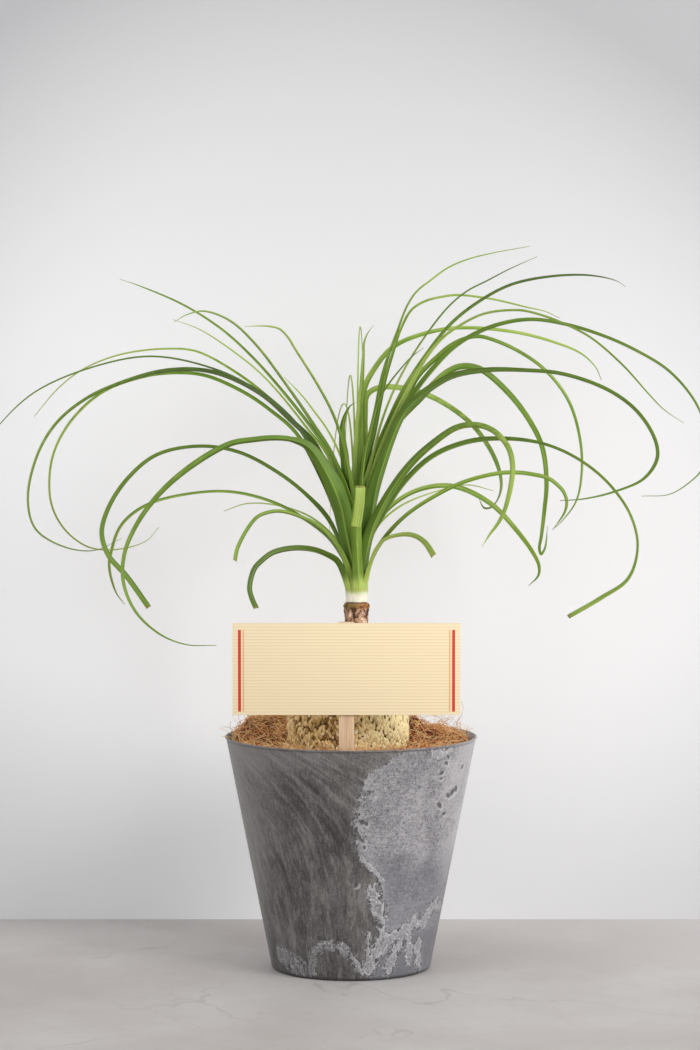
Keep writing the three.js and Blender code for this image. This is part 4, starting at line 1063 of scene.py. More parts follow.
LEAVES = {
    "left_01": leaf((208, 446), seen=(9, 4.5, 2.0, 1.6), tone=(-1.3, -0.5), twist=25, tip=-70, way=[
        (-52, 572), (-103, 618), (-147, 640), (-212, 653), (-274, 642), (-337, 615), (-376, 579),
        (-395, 551)]),
    "left_02": leaf((186, 458), seen=(12, 6.0, 3.8, 2.0), tone=(-1.15, 0.0), twist=40, tip=-10, way=[
        (-39, 557), (-65, 585), (-98, 614), (-147, 636), (-196, 638), (-245, 625), (-284, 607), (-315, 581),
        (-335, 547), (-345, 501), (-337, 469), (-307, 450), (-274, 446), (-245, 459)]),
    "left_03": leaf((168, 452), seen=(6, 4, 3.6, 2.0), tone=(-0.3, 0.7), twist=30, tip=70, way=[
        (-55, 566), (-87, 596), (-119, 617), (-158, 633), (-196, 635), (-226, 630), (-261, 617),
        (-288, 596), (-309, 568), (-320, 538), (-320, 497), (-306, 469), (-281, 450), (-252, 447),
        (-219, 456), (-205, 471)]),
    "left_04": leaf((152, 464), seen=(6, 4.2, 2.4, 1.6), tone=(0.0, 0.9), twist=30, tip=230, way=[
        (-53, 573), (-95, 615), (-126, 638), (-164, 658), (-196, 661), (-245, 655), (-284, 640),
        (-311, 620), (-338, 589)]),
    "left_05": leaf((168, 486), seen=(8, 4.0, 2.8, 2.0), tone=(-0.4, 0.0), twist=35, tip=60, way=[
        (-19, 542), (-41, 575), (-69, 611), (-104, 651), (-138, 682), (-179, 708), (-228, 729),
        (-246, 735)]),
    "left_06": leaf((212, 480), seen=(8, 4.5, 3.0, 2.2), tone=(-0.3, 0.1), twist=30, tip=-110, way=[
        (-18, 543), (-42, 583), (-70, 624), (-101, 665), (-129, 691), (-156, 701), (-173, 698),
        (-188, 690)]),
    "left_07": leaf((138, 478), seen=(6, 3.0, 2.2, 1.4), tone=(0.4, 0.8), twist=20, tip=170, way=[
        (-24, 545), (-49, 579), (-76, 613), (-101, 639), (-142, 670), (-164, 683), (-189, 692)]),
    "left_08": leaf((126, 494), seen=(5, 2.8, 2.2, 1.6), tone=(0.6, 0.8), twist=20, tip=60, way=[
        (-11, 546), (-26, 576), (-39, 594), (-52, 611), (-71, 631)]),
    "left_09": leaf((232, 492), seen=(8, 3.6, 2.8, 2.2), tone=(-0.15, 0.5), twist=30, tip=-150, way=[
        (-8, 557), (-19, 591), (-37, 625), (-59, 660), (-67, 673), (-76, 682), (-88, 685), (-113, 685)]),
    "left_10": leaf((262, 424), seen=(15, 19, 20.5, 12.5, 5.8, 6.5, 1.9), tone=(-0.5, -0.05), twist=10,
                    tip=-130, seen_at=(0.04, 0.1, 0.17, 0.24, 0.3, 0.48, 0.92), way=[
        (-4, 460), (-11, 494), (-22, 522), (-44, 556), (-62, 564), (-81, 566), (-105, 564), (-128, 560),
        (-166, 539), (-202, 509), (-228, 475), (-242, 442), (-243, 411), (-230, 380), (-204, 356),
        (-176, 345), (-144, 344)]),
    "left_11": leaf((184, 432), seen=(5, 4.2, 3.7, 5.4), tone=(-0.75, -0.3), twist=30, tip=-30,
                    cut=True, way=[
        (-21, 474), (-48, 505), (-80, 530), (-121, 551), (-163, 557), (-207, 548), (-237, 524), (-258, 493),
        (-266, 465), (-259, 441), (-240, 419), (-216, 385)]),
    "left_12": leaf((158, 428), seen=(4, 3.4, 2.8, 4.2), tone=(0.05, 0.25), twist=25, tip=90, way=[
        (-21, 456), (-48, 478), (-80, 496), (-124, 508), (-169, 507), (-219, 494), (-245, 473), (-256, 444),
        (-258, 428), (-251, 401), (-242, 388)]),
    "left_13": leaf((228, 418), seen=(6, 4.8, 3.8, 4), tone=(0.0, -0.1), twist=80, tip=-130, cut=True, way=[
        (-12, 446), (-32, 470), (-62, 485), (-80, 488), (-98, 483), (-107, 474), (-121, 449), (-124, 435)]),
    "left_14": leaf((206, 406), seen=(6.5, 6.5, 6.2, 5.2), tone=(-0.9, -0.9), twist=50, tip=-60,
                    cut=True, way=[
        (-15, 433), (-27, 441), (-40, 446), (-55, 448), (-70, 447), (-84, 443), (-95, 435), (-103, 426),
        (-108, 407), (-106, 396), (-101, 384)]),
    "top_01": leaf((284, 402), seen=(11.5, 11.5, 11.2, 10), tone=0.0, twist=0, tip=-44, cut=True, way=[
        (7, 433), (6, 471), (7, 492), (10, 515)]),
    "top_02": leaf((266, 498), seen=(10, 10, 9, 2.6), tone=-0.3, twist=0, tip=-50, way=[
        (-5, 530), (-7, 547), (-9, 563), (-9, 579), (-6, 591), (-1, 600), (5, 604)]),
    "top_03": leaf((84, 500), seen=(10, 8.8, 6.4, 2.2), tone=(0.2, 0.1), twist=10, tip=40, way=[
        (5, 522), (6, 547), (7, 571), (9, 596), (11, 619), (13, 652), (14, 668), (18, 678), (24, 686)]),
    "right_01": leaf((18, 500), seen=(7, 5.5, 2.4, 1.4), tone=(-0.3, 0.4), twist=20, tip=80, way=[
        (17, 547), (22, 572), (27, 596), (33, 629), (41, 657), (48, 676), (60, 707), (70, 722), (85, 734),
        (103, 747), (124, 756), (147, 762), (190, 770)]),
    "right_02": leaf((44, 494), seen=(7, 5, 2.8, 2.2), tone=(-0.1, 0.4), twist=25, tip=170, way=[
        (19, 547), (25, 572), (30, 598), (37, 631), (45, 658), (53, 682), (65, 703), (80, 712), (96, 716),
        (113, 718), (149, 714), (188, 705), (206, 701), (222, 694)]),
    "right_03": leaf((330, 490), seen=(7, 3, 2.2, 1.5), tone=(0.6, -0.4), twist=20, tip=-60, way=[
        (24, 549), (34, 587), (51, 628), (74, 667), (103, 705), (123, 722), (146, 734), (169, 746),
        (198, 759)]),
    "right_04": leaf((356, 482), seen=(10, 6, 3.8, 2.4), tone=(0.2, -0.9), twist=30, tip=0, way=[
        (26, 544), (41, 584), (57, 618), (80, 654), (106, 687), (136, 711), (170, 729), (213, 738),
        (255, 739), (283, 733), (292, 727)]),
    "right_05": leaf((336, 472), seen=(8, 5, 2.6, 2.0), tone=(0.65, 0.15), twist=25, tip=-120, way=[
        (29, 544), (44, 583), (60, 616), (82, 654), (97, 672), (110, 682), (141, 698), (177, 702),
        (195, 699), (226, 688), (255, 673), (289, 644), (319, 611), (334, 596), (355, 582)]),
    "right_06": leaf((352, 456), seen=(11, 6.2, 3.8, 1.8), tone=(-0.3, -0.1), twist=30, tip=-60, way=[
        (46, 577), (65, 610), (87, 639), (113, 665), (149, 684), (189, 692), (228, 687), (268, 675),
        (304, 659), (338, 638), (364, 609), (378, 580), (385, 556), (374, 532), (364, 521), (340, 506),
        (310, 504)]),
    "right_07": leaf((54, 488), seen=(9, 7, 4.4, 3.0), tone=(0.2, 0.35), twist=30, tip=240, way=[
        (13, 545), (12, 573), (14, 617), (24, 638), (44, 662), (75, 676), (113, 683), (172, 679),
        (213, 669), (245, 656), (261, 641), (267, 628)]),
    "right_08": leaf((66, 474), seen=(8, 6, 6, 5), tone=(0.5, -0.1), twist=30, tip=210, way=[
        (15, 560), (15, 590), (17, 611), (26, 618), (41, 620), (74, 614), (106, 598), (133, 575),
        (154, 541), (160, 515), (156, 499), (149, 492), (142, 492), (136, 503)]),
    "right_09": leaf((42, 460), seen=(9, 7.4, 6.8, 5), tone=-0.15, twist=30, tip=170, way=[
        (28, 550), (50, 583), (74, 608), (88, 623), (100, 634), (113, 641), (126, 642), (139, 638),
        (165, 616), (188, 587), (203, 557), (208, 519), (206, 490), (203, 462), (201, 448), (203, 442),
        (207, 448), (210, 472)]),
    "right_10": leaf((326, 440), seen=(16, 10.5, 4.2, 3.2), tone=(-0.6, -0.35), twist=20, tip=-150, way=[
        (23, 498), (31, 530), (51, 584), (60, 598), (74, 611), (106, 631), (144, 638), (185, 638),
        (226, 634), (274, 617), (305, 594), (324, 564), (326, 544), (312, 523), (281, 509), (248, 501),
        (223, 499)]),
    "right_11": leaf((18, 468), seen=(9, 6.5, 4.2, 3), tone=(-0.15, 0.0), twist=25, tip=60, way=[
        (28, 552), (51, 589), (62, 614), (72, 632), (93, 653), (106, 664), (120, 671), (133, 674),
        (146, 672), (177, 659), (208, 637), (232, 605), (244, 565), (246, 529), (240, 498), (223, 475),
        (215, 468)]),
    "right_12": leaf((310, 430), seen=(12, 9, 6.4, 4.6), tone=(-0.4, 0.5), twist=80, tip=-190, way=[
        (21, 466), (41, 507), (66, 541), (97, 568), (112, 577), (125, 580), (139, 579), (151, 574),
        (162, 564), (169, 552), (172, 532), (165, 493), (158, 477), (148, 463), (140, 450)]),
    "right_13": leaf((355, 431), seen=(8, 6, 5.6, 3.3, 2.5, 4.2), tone=(-0.65, 0.1), twist=30, tip=-60,
                    cut=True, seen_at=(0.04, 0.2, 0.36, 0.5, 0.8, 0.92), way=[
        (21, 460), (32, 480), (57, 518), (87, 546), (123, 561), (159, 565), (204, 560), (243, 543),
        (276, 516), (299, 482), (306, 449), (296, 416), (268, 396), (232, 375)]),
    "right_14": leaf((34, 434), seen=(5, 4.4, 5.6, 5), tone=(0.2, 0.0), twist=60, tip=120, way=[
        (22, 465), (43, 493), (68, 509), (95, 515), (118, 512), (150, 495), (177, 467), (197, 439),
        (201, 428), (200, 419), (190, 408)]),
    "right_15": leaf((9, 416), seen=(4.5, 3.8, 4.2, 4.6), tone=0.05, twist=25, tip=30, way=[
        (24, 440), (37, 460), (60, 484), (90, 504), (121, 519), (156, 528), (176, 529), (194, 527),
        (210, 523), (220, 516), (227, 508), (230, 498), (228, 487), (217, 470)]),
    "right_16": leaf((328, 410), seen=(4.5, 3.6, 4, 6.4), tone=(1.4, 0.4), twist=80, tip=-70, cut=True,
                    way=[
        (24, 441), (32, 454), (39, 459), (49, 462), (60, 463), (69, 461), (78, 455), (84, 447), (88, 440)]),
    "right_17": leaf((302, 486), seen=(5, 4, 2.2, 1.6), tone=-0.1, twist=10, tip=-120, way=[
        (14, 545), (20, 573), (29, 605), (42, 626), (54, 641), (64, 652), (77, 662)]),
    "back_01": leaf((90, 424), seen=(8, 5.5, 4, 2.4), tone=0.1, twist=20, plane=91, way=[
        (17, 452), (36, 486), (64, 508), (97, 512), (130, 498), (160, 470), (182, 435), (194, 400)]),
    "back_02": leaf((104, 444), seen=(3.6, 2.4, 1.6, 1.0), tone=0.9, twist=20, plane=97, way=[
        (18, 496), (34, 546), (60, 584), (96, 602), (136, 600), (178, 578), (214, 540), (240, 492),
        (250, 455)]),
    "back_03": leaf((96, 456), seen=(3.6, 2.4, 1.6, 1.0), tone=0.8, twist=20, plane=93, way=[
        (17, 505), (34, 560), (60, 602), (96, 628), (138, 634), (182, 616), (220, 580), (248, 532),
        (260, 490)]),
    "back_04": leaf((132, 430), seen=(4, 2.4, 1.5, 0.9), tone=(0.6, 1.0), twist=20, tip=200, way=[
        (-9, 446), (-22, 464), (-44, 482), (-78, 494), (-112, 496), (-136, 488)]),
    "back_05": leaf((98, 482), seen=(3.6, 2.4, 1.6, 1.0), tone=0.8, twist=20, plane=88, way=[
        (11, 530), (21, 585), (37, 632), (63, 668), (99, 686), (141, 686), (184, 670), (222, 640),
        (248, 610)]),
    "back_06": leaf((58, 436), seen=(4, 2.4, 1.5, 0.9), tone=0.9, twist=20, tip=220, way=[
        (19, 456), (32, 476), (54, 494), (88, 508), (124, 516), (152, 510)]),
}
print(len(LEAVES), "leaves")

# %% The crown that the leaves are seated on
CROWN_BASE = 392.3
CROWN_TOP = 510
CROWN_OUTLINE = [(10.7, 0), (11.1, 8), (11.2, 30), (11.0, 52), (9.8, 70), (7.2, 90), (4.4, 106),
                 (1.9, 114.7)]
CORE_INSET = 1.6
SHEATH_LENGTH = 46
CLASP_HALF_WIDTH = 8.6
CLASP_FADE = 30
BLADE_THICKNESS = (1.2, 0.6)
BLADE_FOLD_DEGREES = (30, 16)
BLADE_ROLL_DEGREES = 36
STEPS_PER_POINT = 7
LEAST_FACING = 0.5
LEAST_HALF_WIDTH = 0.25
SHEATH_SHARES = (0, 0.35, 0.7)
DEPTH_POWER = 1.3
TIP_POWER = 14
ROLL_REACH = (10, 110)
EDGE_SHARPNESS = (2.0, 1.18)
SINK_SHARE = 0.4
PALE_BELOW = (394, 430)
PALE_WITHIN = (20, 60)
TONE_CHANGE = (0.35, 0.75)
DRY_REACH = {"cut": 3.0, "whole": 7.0}


def crown_radius(height):
    radii, heights = zip(*CROWN_OUTLINE)
    return float(np.interp(height - CROWN_BASE, heights, radii))


def round_crown(bearing, radius, height):
    """A point this far out from the crown's axis, on this bearing."""
    out = math.radians(bearing)
    return Vector((STEM_OFFSET / MM + radius * math.cos(out), radius * math.sin(out), height))


def on_crown(bearing, height, clear):
    return round_crown(bearing, crown_radius(height) + clear, height)


print("crown from", CROWN_BASE, "to", CROWN_TOP, "mm")

# %% The way of a leaf
def leaf_way(row, seat):
    """The points of a leaf after its seat. Most ways are drawn as seen from the front."""
    if row["plane"] is not None:
        return [round_crown(row["plane"], reach, up) for reach, up in row["way"]]
    flat = [Vector((seat.x, seat.z)), *[Vector(p) for p in row["way"]]]
    lengths = distances(flat)[1:]
    points = []
    for (right, up), length in zip(row["way"], lengths):
        depth = mix(seat.y, row["tip"], (length / lengths[-1]) ** DEPTH_POWER)
        spread = 1 + depth / SEEN_FROM
        points.append(Vector((right * spread, depth, SEEN_AT - (SEEN_AT - WAY_DATUM - up) * spread)))
    return points


def leaf_points(row):
    """Midrib points of a leaf in millimetres, from its sheath's foot, and how many precede its seat."""
    bearing, seat_height = row["seat"]
    outermost = (CROWN_TOP - seat_height) / (CROWN_TOP - CROWN_BASE)
    clear = mix(-1.2, 0.4, outermost)
    foot = max(CROWN_BASE + 0.8, seat_height - SHEATH_LENGTH)
    seat = on_crown(bearing, seat_height, clear + 0.4)
    sheath = [on_crown(bearing, mix(foot, seat_height, share), clear) for share in SHEATH_SHARES]
    return through([*sheath, seat, *leaf_way(row, seat)], STEPS_PER_POINT), len(sheath) * STEPS_PER_POINT


def distances(points):
    return np.concatenate([[0], np.cumsum([(b - a).length for a, b in zip(points, points[1:])])])


def headings(points):
    """The direction that a line of points runs in at each of them."""
    last = len(points) - 1
    return [(points[min(i + 1, last)] - points[max(i - 1, 0)]).normalized() for i in range(last + 1)]


leaf_lengths = [distances(leaf_points(row)[0])[-1] for row in LEAVES.values()]
print("the leaves are", round(min(leaf_lengths)), "to", round(max(leaf_lengths)), "mm long")

# %% The frames and the widths of a leaf
def frames(row, points, from_seat):
    """The direction across the leaf, the one that its edges rise in, and how far it faces the viewer."""
    bearing = math.radians(row["seat"][0])
    side = Vector((-math.sin(bearing), math.cos(bearing), 0))
    goes_left = points[-1].x < STEM_OFFSET / MM
    in_front = math.sin(bearing) < 0
    way_round = 1 if goes_left == in_front else -1
    roll = BLADE_ROLL_DEGREES * abs(math.cos(bearing)) * smooth(*ROLL_REACH, from_seat)
    twist = row["twist"] * np.clip(from_seat / from_seat[-1], 0, 1)
    sides, lifts, facing = [], [], []
    for forward, turn in zip(headings(points), np.radians(roll + twist) * way_round):
        side = (side - forward * side.dot(forward)).normalized()
        across = side.copy()
        across.rotate(Matrix.Rotation(turn, 3, forward))
        sides.append(across)
        lifts.append(-across.cross(forward))
        broad = forward.cross(Vector((0, 1, 0)))
        facing.append(abs(across.dot(broad.normalized())) if broad.length > 0.3 else 1.0)
    return sides, lifts, np.array(facing)


def leaf_rail(name, row):
    """The rail of a leaf. A blade seen nearly edge on is made wider, to show the width that it should."""
    points, seat_index = leaf_points(row)
    from_seat = distances(points) - distances(points)[seat_index]
    sides, lifts, facing = frames(row, points, from_seat)
    share = np.clip(from_seat / from_seat[-1], 0, 1)
    if row["plane"] is not None:
        facing = 1.0
    blade = np.interp(share, row["seen_at"], row["seen"]) / 2 / np.maximum(facing, LEAST_FACING)
    if not row["cut"]:
        blade = blade * (1 - share ** TIP_POWER)
    core = np.array([crown_radius(min(p.z, CROWN_TOP - 6)) for p in points]) + 1
    clasp_half = np.minimum(min(CLASP_HALF_WIDTH, row["seen"][0] * 0.45 + 3.2), core * 0.93)
    clasp_rise = core - np.sqrt(core ** 2 - clasp_half ** 2)
    free = smooth(-6, CLASP_FADE, from_seat)
    half = np.maximum(mix(clasp_half, blade, free), LEAST_HALF_WIDTH)
    rise = mix(clasp_rise, half * np.tan(np.radians(mix(*BLADE_FOLD_DEGREES, share))), free)
    pale = (1 - smooth(*PALE_BELOW, [p.z for p in points])) * (1 - smooth(*PALE_WITHIN, from_seat))
    points = [p - lift * sink for p, lift, sink in zip(points, lifts, rise * SINK_SHARE * free)]
    dry = 1 - smooth(0.4, DRY_REACH["cut" if row["cut"] else "whole"], from_seat[-1] - from_seat)
    tone = 0.5 + 0.5 * mix(*row["tone"], smooth(*TONE_CHANGE, from_seat / from_seat[-1]))
    return rail_of(name, points, sides, lifts, half, rise, mix(*BLADE_THICKNESS, share),
                   sharp=mix(*EDGE_SHARPNESS, free), along=from_seat * MM, pale=pale, dry=dry, tone=tone)


print("leaf rail helper ready")

# %% The rail as a mesh that the recipe can read
def capped(values, closing=False):
    """Repeats the first and last value, or closes the section there, so that both ends are shut."""
    first, last = (0.0, 0.0) if closing else (values[0], values[-1])
    return [first, *values, last]


def rail_of(name, points, sides, lifts, half_width, rise, thick, **others):
    """A line of vertices in metres, with everything that the recipe and the finish read stored on it."""
    mesh = bpy.data.meshes.new(name + "_rail")
    steps = [(i, i + 1) for i in range(len(points) + 1)]
    mesh.from_pydata([tuple(p * MM) for p in capped(points)], steps, [])
    for label, directions in {"side": sides, "lift": lifts}.items():
        flat = [c for v in capped(directions) for c in v]
        mesh.attributes.new(label, "FLOAT_VECTOR", "POINT").data.foreach_set("vector", flat)
    for label, sizes in {"half_width": half_width, "rise": rise, "thick": thick}.items():
        add_values(mesh, label, capped(sizes * MM, closing=True))
    for label, values in others.items():
        add_values(mesh, label, capped(values))
    return mesh


print("rail helpers ready")

# %% The recipe that wraps a blade round a rail
WELD_REACH = 0.002 * MM


def blade_recipe():
    blade = Recipe("blade_on_rail", points_round=16, keel=0.45)
    rail = blade.given("Geometry")
    count = blade.node("GeometryNodeAttributeDomainSize", inputs={0: rail}, output="Point Count")
    grid = blade.node("GeometryNodeMeshGrid", inputs={
        "Size X": 1.0, "Size Y": 1.0, "Vertices X": count, "Vertices Y": blade.given("points_round") + 1})
    x, y, _ = blade.axes(blade.place())
    row = blade.maths("ROUND", (x + 0.5) * (count - 1))
    turn = (y + 0.5) * (2 * math.pi)

    def sampled(value, kind="FLOAT"):
        return blade.node("GeometryNodeSampleIndex", {"data_type": kind, "domain": "POINT"}, {
            "Geometry": rail, "Value": value, "Index": row})

    def stored(name, kind="FLOAT"):
        return sampled(blade.named(name, kind), kind)

    ring = blade.maths("COSINE", turn)
    lens = blade.maths("SINE", turn)
    across = blade.maths("SIGN", ring) * blade.maths("ABSOLUTE", ring) ** 1.4
    under = blade.maths("MAXIMUM", lens * -1.0, 0.0)
    thick = stored("thick")
    upward = stored("rise") * blade.maths("ABSOLUTE", across) ** stored("sharp") + thick * 0.5 * lens
    upward = upward - thick * blade.given("keel") * under ** 8.0
    place = sampled(blade.place(), "FLOAT_VECTOR")
    for direction, reach in (("side", across * stored("half_width")), ("lift", upward)):
        place = blade.vector("ADD", place, blade.scaled(stored(direction, "FLOAT_VECTOR"), reach))
    body = blade.kept(blade.kept(grid, "across", across), "under", under)
    for name in ("along", "pale", "dry", "tone"):
        body = blade.kept(body, name, stored(name))
    body = blade.moved(body, Position=place)
    body = blade.node("GeometryNodeMergeByDistance", inputs={"Geometry": body, "Distance": WELD_REACH})
    blade.close(body)
    return blade


blades = blade_recipe()
print("the blade recipe has", len(blades.tree.nodes), "nodes")

# %% The finish of a leaf
def leaf_finish():
    green = Finish("leaf_finish")
    step = green.step
    across, along = green.attribute("across"), green.attribute("along")
    tone, pale = green.attribute("tone"), green.attribute("pale")
    edge = green.maths("ABSOLUTE", across)
    vein_place = green.joined(across * 9.0, along * 9.0, tone * 50.0)
    veins = green.grain(vein_place, 1.6, detail=3.0, roughness=0.6)
    cloud = green.grain(green.joined(across * 0.6, along * 14.0, tone * 31.0), 1.5, detail=3.0)
    # Painted light: one half of the fold is lighter than the other.
    level = veins * 0.55 + cloud * 0.5 + tone * 0.75 + step(across, -0.15, 0.15) * 0.1 - 0.22
    sheath = green.blend(step(veins, 0.38, 0.62), (150, 182, 62), (218, 232, 140))
    scorched = step(pale, 0.62, 0.7) * step(pale, 0.86, 0.78) * step(veins, 0.5, 0.62)
    colour = green.layers(
        green.blend(step(level, 0.2, 0.65), (33, 65, 2), (90, 127, 16)),
        (step(level, 0.6, 1.05), (164, 189, 86)),
        (green.attribute("under") * 0.15, (136, 160, 92)),
        (step(edge, 0.17, 0.03) * step(along, 0.34, 0.05) * 0.5, (176, 204, 98)),
        (step(edge, 0.95, 0.995) * 0.4, (160, 184, 92)),
        (step(pale, 0.02, 0.5) * 0.85, sheath),
        (step(pale + (veins - 0.5) * 0.25, 0.7, 0.95), (250, 246, 226)),
        (scorched * 0.6, (206, 144, 90)),
        (step(green.attribute("dry"), 0.15, 0.9) * 0.5, (166, 144, 92)))
    return green.surface(colour, 0.4 + veins * 0.14, veins, 0.12 * MM, Specular_IOR_Level=0.34,
                         Subsurface_Weight=0.1, Subsurface_Scale=0.004)


leaf_paint = leaf_finish()
print("the leaf's finish has", len(leaf_paint.node_tree.nodes), "nodes")

# %% Growing the leaves
def grow_blade(name, rail, node):
    piece = blades.grow(name, rail, leaf_paint)
    outward(piece.data)
    declare(piece, "leaf_green", node)


for name, row in LEAVES.items():
    grow_blade("leaf_" + name + "_blade", leaf_rail(name, row), "leaf_" + name)

# %% [markdown]
# ## The broken leaf in the middle
# The short leaf in front was broken off, and its top hangs folded over itself: a pale lime flap that
# starts behind the break, goes over it and comes down in front.

# %% The flap
FLAP_POINTS = [
    (9.4, -42.5, 509), (9.8, -44.6, 515.5), (9.8, -46.6, 516.2), (9.6, -47.4, 511), (8.4, -44.5, 497),
    (6.6, -39.5, 484), (5.0, -36.5, 475)]
FLAP_HALF_WIDTHS = (5.2, 5.4)
FLAP_THICKNESS = 0.8
FLAP_SHARPNESS = 1.3
FLAP_TONE = 0.45
FLAP_LENGTH = 45 * MM


def flap_rail():
    points = through(FLAP_POINTS, STEPS_PER_POINT)
    ahead = headings(points)
    sides = [(Vector((1, 0, 0)) - forward * forward.x).normalized() for forward in ahead]
    lifts = [-side.cross(forward) for side, forward in zip(sides, ahead)]
    share = distances(points) / distances(points)[-1]
    half = mix(*FLAP_HALF_WIDTHS, share)
    same = np.ones(len(points))
    return rail_of("flap", points, sides, lifts, half, half * 0.22, same * FLAP_THICKNESS,
                   sharp=same * FLAP_SHARPNESS, along=share * FLAP_LENGTH, pale=0.32 + share * 0.1,
                   dry=same * 0, tone=same * FLAP_TONE)


grow_blade("leaf_top_01_flap", flap_rail(), "leaf_top_01")

# %% [markdown]
# ## The growing point
# Under the sheaths is the core that they grow from: white at the foot where it leaves the collar, with
# the edges of older sheaths winding round it.

# %% The core
CORE_SEGMENTS = 84
CORE_EDGE_HEIGHT = 0.35 * MM
CORE_BROWN_BELOW = (395.5 * MM, 393.2 * MM)
CORE_GREEN_FROM = (403 * MM, 420 * MM)
CORE_DARK_FROM = (430 * MM, 470 * MM)


def core_relief(turn, radius, height):
    edge = np.sin(turn * 7 + (height / MM - CROWN_BASE) * 0.09)
    return radius + edge * CORE_EDGE_HEIGHT * (radius > 2 * MM)


def core_mesh():
    outline = [(max(radius - CORE_INSET, 0.6) * MM, (CROWN_BASE + height) * MM, 0)
               for radius, height in CROWN_OUTLINE]
    outline = [(max(p.x, 0.4 * MM), p.y) for p in through(outline, 6)]
    profile = [(0, CROWN_BASE * MM), *outline, (0, CROWN_TOP * MM)]
    points, faces = turned(profile, CORE_SEGMENTS, core_relief)
    points[:, 0] += STEM_OFFSET
    return mesh_of("crown_core", points, faces)


def core_finish():
    core = Finish("core_finish")
    step = core.step
    _, _, z = core.axes(core.place)
    fibre = core.grain(core.stretched(1, 1, 0.12), 520.0, detail=4.0)
    colour = core.layers(
        core.blend(step(z, *CORE_GREEN_FROM), (246, 241, 218), (158, 182, 84)),
        (step(z, *CORE_DARK_FROM), (58, 84, 28)),
        (step(fibre, 0.5, 0.7) * 0.3, (196, 186, 120)),
        (step(z + (fibre - 0.5) * 3 * MM, *CORE_BROWN_BELOW) * 0.8, (166, 122, 66)))
    return core.surface(colour, 0.5, fibre, 0.3 * MM)


dress(core_mesh(), core_finish(), "sheath_green", "crown_sheaths")

# %% [markdown]
# ## The display card and its stake
# The card is a stiff printed board: cream with fine ruled lines, and at each end a red bar with a thin
# orange rule inside it. It is otherwise bare. It stands in front of a flat stake of pale wood with
# upright grain.

# %% Boards with softened edges
CARD_SIZE = (236 * MM, 3 * MM, 95.6 * MM)
CARD_CENTRE = (-4.7 * MM, -108.6 * MM, 331.3 * MM)
CARD_EDGE_ROUND = 0.35 * MM
STAKE_EDGE_ROUND = 0.5 * MM
STAKE_WIDTH = 16 * MM
STAKE_THICKNESS = 5 * MM
STAKE_TOP = 380 * MM
STAKE_FOOT = 174 * MM
STAKE_POINT = 26 * MM
STAKE_GAP = 0.3 * MM


def board(name, outline, front, back, rounding):
    """A flat board from an outline of (x, z) points, with its edges rounded off."""
    count = len(outline)
    points = [(x, y, z) for y in (front, back) for x, z in outline]
    faces = [tuple(range(count)), tuple(range(2 * count - 1, count - 1, -1))]
    faces += [(i, i + count, (i + 1) % count + count, (i + 1) % count) for i in range(count)]
    mesh = mesh_of(name, points, faces)
    work = bmesh.new()
    work.from_mesh(mesh)
    bmesh.ops.recalc_face_normals(work, faces=work.faces)
    bmesh.ops.bevel(work, geom=work.edges[:], offset=rounding, segments=3, profile=0.5, affect="EDGES")
    work.to_mesh(mesh)
    work.free()
    return mesh


print("board helper ready")

# %% The card's print
RULE_PITCH = 3.27 * MM
BAR_FROM_END = (5.6 * MM, 8.7 * MM)
BAR_TOP_GAP = 7.0 * MM
BAR_FOOT_GAP = 3.6 * MM
THIN_RULE_FROM_END = 11.1 * MM
THIN_RULE_WIDTH = 1.1 * MM
PRINT_SOFTNESS = (0.15 * MM, 0.2 * MM)


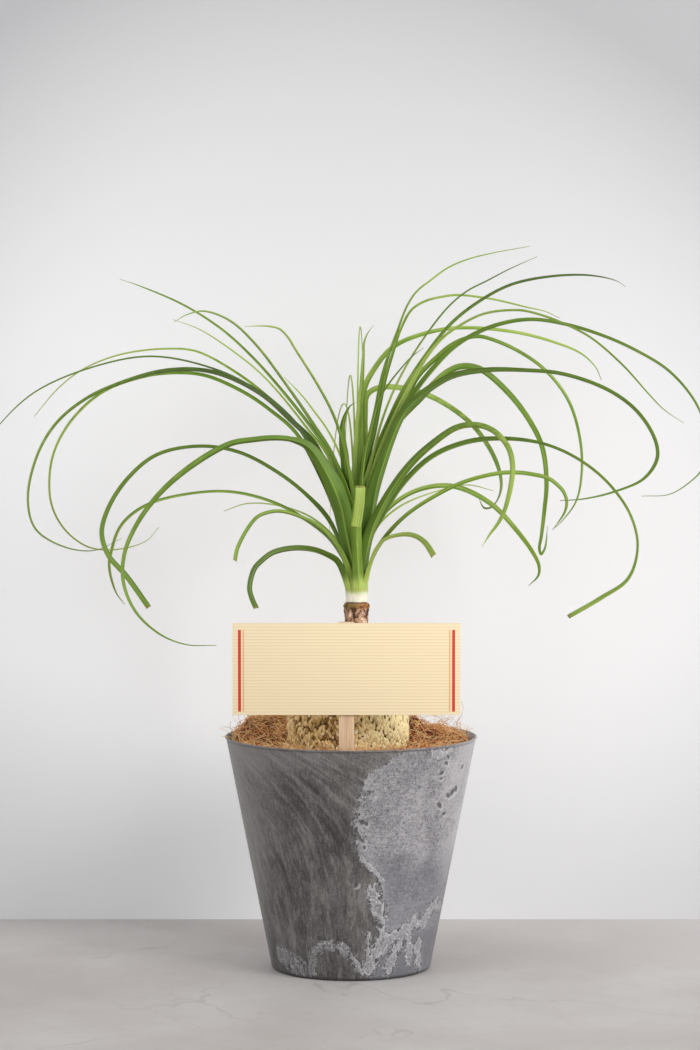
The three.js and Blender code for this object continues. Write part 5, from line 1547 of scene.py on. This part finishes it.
def card_finish():
    card = Finish("card_finish")
    step = card.step
    x, _, z = card.axes(card.place)
    from_end = CARD_SIZE[0] / 2 - card.maths("ABSOLUTE", x - CARD_CENTRE[0])
    low, high = CARD_CENTRE[2] - CARD_SIZE[2] / 2, CARD_CENTRE[2] + CARD_SIZE[2] / 2
    fibre = card.grain(card.place, 900.0, detail=3.0)
    wave = card.maths("COSINE", (z - low) * (2 * math.pi / RULE_PITCH))

    def band(value, start, end, soft):
        return step(value, start - soft, start + soft) * step(value, end + soft, end - soft)

    upright = band(z, low + BAR_FOOT_GAP, high - BAR_TOP_GAP, PRINT_SOFTNESS[1])
    half_rule = THIN_RULE_WIDTH / 2
    rule = band(from_end, THIN_RULE_FROM_END - half_rule, THIN_RULE_FROM_END + half_rule, PRINT_SOFTNESS[0])
    colour = card.layers(
        card.blend(step(wave, 0.35, 0.95) * 0.75, (243, 224, 186), (226, 202, 156)),
        (step(fibre, 0.4, 0.7) * 0.12, (222, 206, 172)),
        (rule * upright, (228, 158, 80)),
        (band(from_end, *BAR_FROM_END, PRINT_SOFTNESS[0]) * upright, (206, 52, 42)))
    return card.surface(colour, 0.55, fibre, 0.05 * MM)


cx, cy, cz = CARD_CENTRE
half_wide, half_thick, half_high = (size / 2 for size in CARD_SIZE)
card_outline = [(cx - half_wide, cz - half_high), (cx + half_wide, cz - half_high),
                (cx + half_wide, cz + half_high), (cx - half_wide, cz + half_high)]
card_mesh = board("display_card", card_outline, cy - half_thick, cy + half_thick, CARD_EDGE_ROUND)
dress(card_mesh, card_finish(), "card_cream", "sign_card")

# %% The stake
def stake_finish():
    wood = Finish("stake_finish")
    grain = wood.grain(wood.stretched(1, 1, 0.03), 900.0, detail=4.0, roughness=0.6)
    broad = wood.grain(wood.stretched(1, 1, 0.05), 160.0, detail=3.0)
    colour = wood.blend(wood.step(grain * 0.6 + broad * 0.4, 0.35, 0.65), (198, 162, 126), (232, 204, 170))
    return wood.surface(colour, 0.72, grain, 0.25 * MM)


stake_front = cy + half_thick + STAKE_GAP
half_stake, shoulder = STAKE_WIDTH / 2, STAKE_FOOT + STAKE_POINT
stake_outline = [(cx - half_stake, STAKE_TOP), (cx - half_stake, shoulder), (cx - MM, STAKE_FOOT),
                 (cx + MM, STAKE_FOOT), (cx + half_stake, shoulder), (cx + half_stake, STAKE_TOP)]
stake_back = stake_front + STAKE_THICKNESS
stake_mesh = board("wooden_stake", stake_outline, stake_front, stake_back, STAKE_EDGE_ROUND)
dress(stake_mesh, stake_finish(), "stake_wood", "sign_stake")
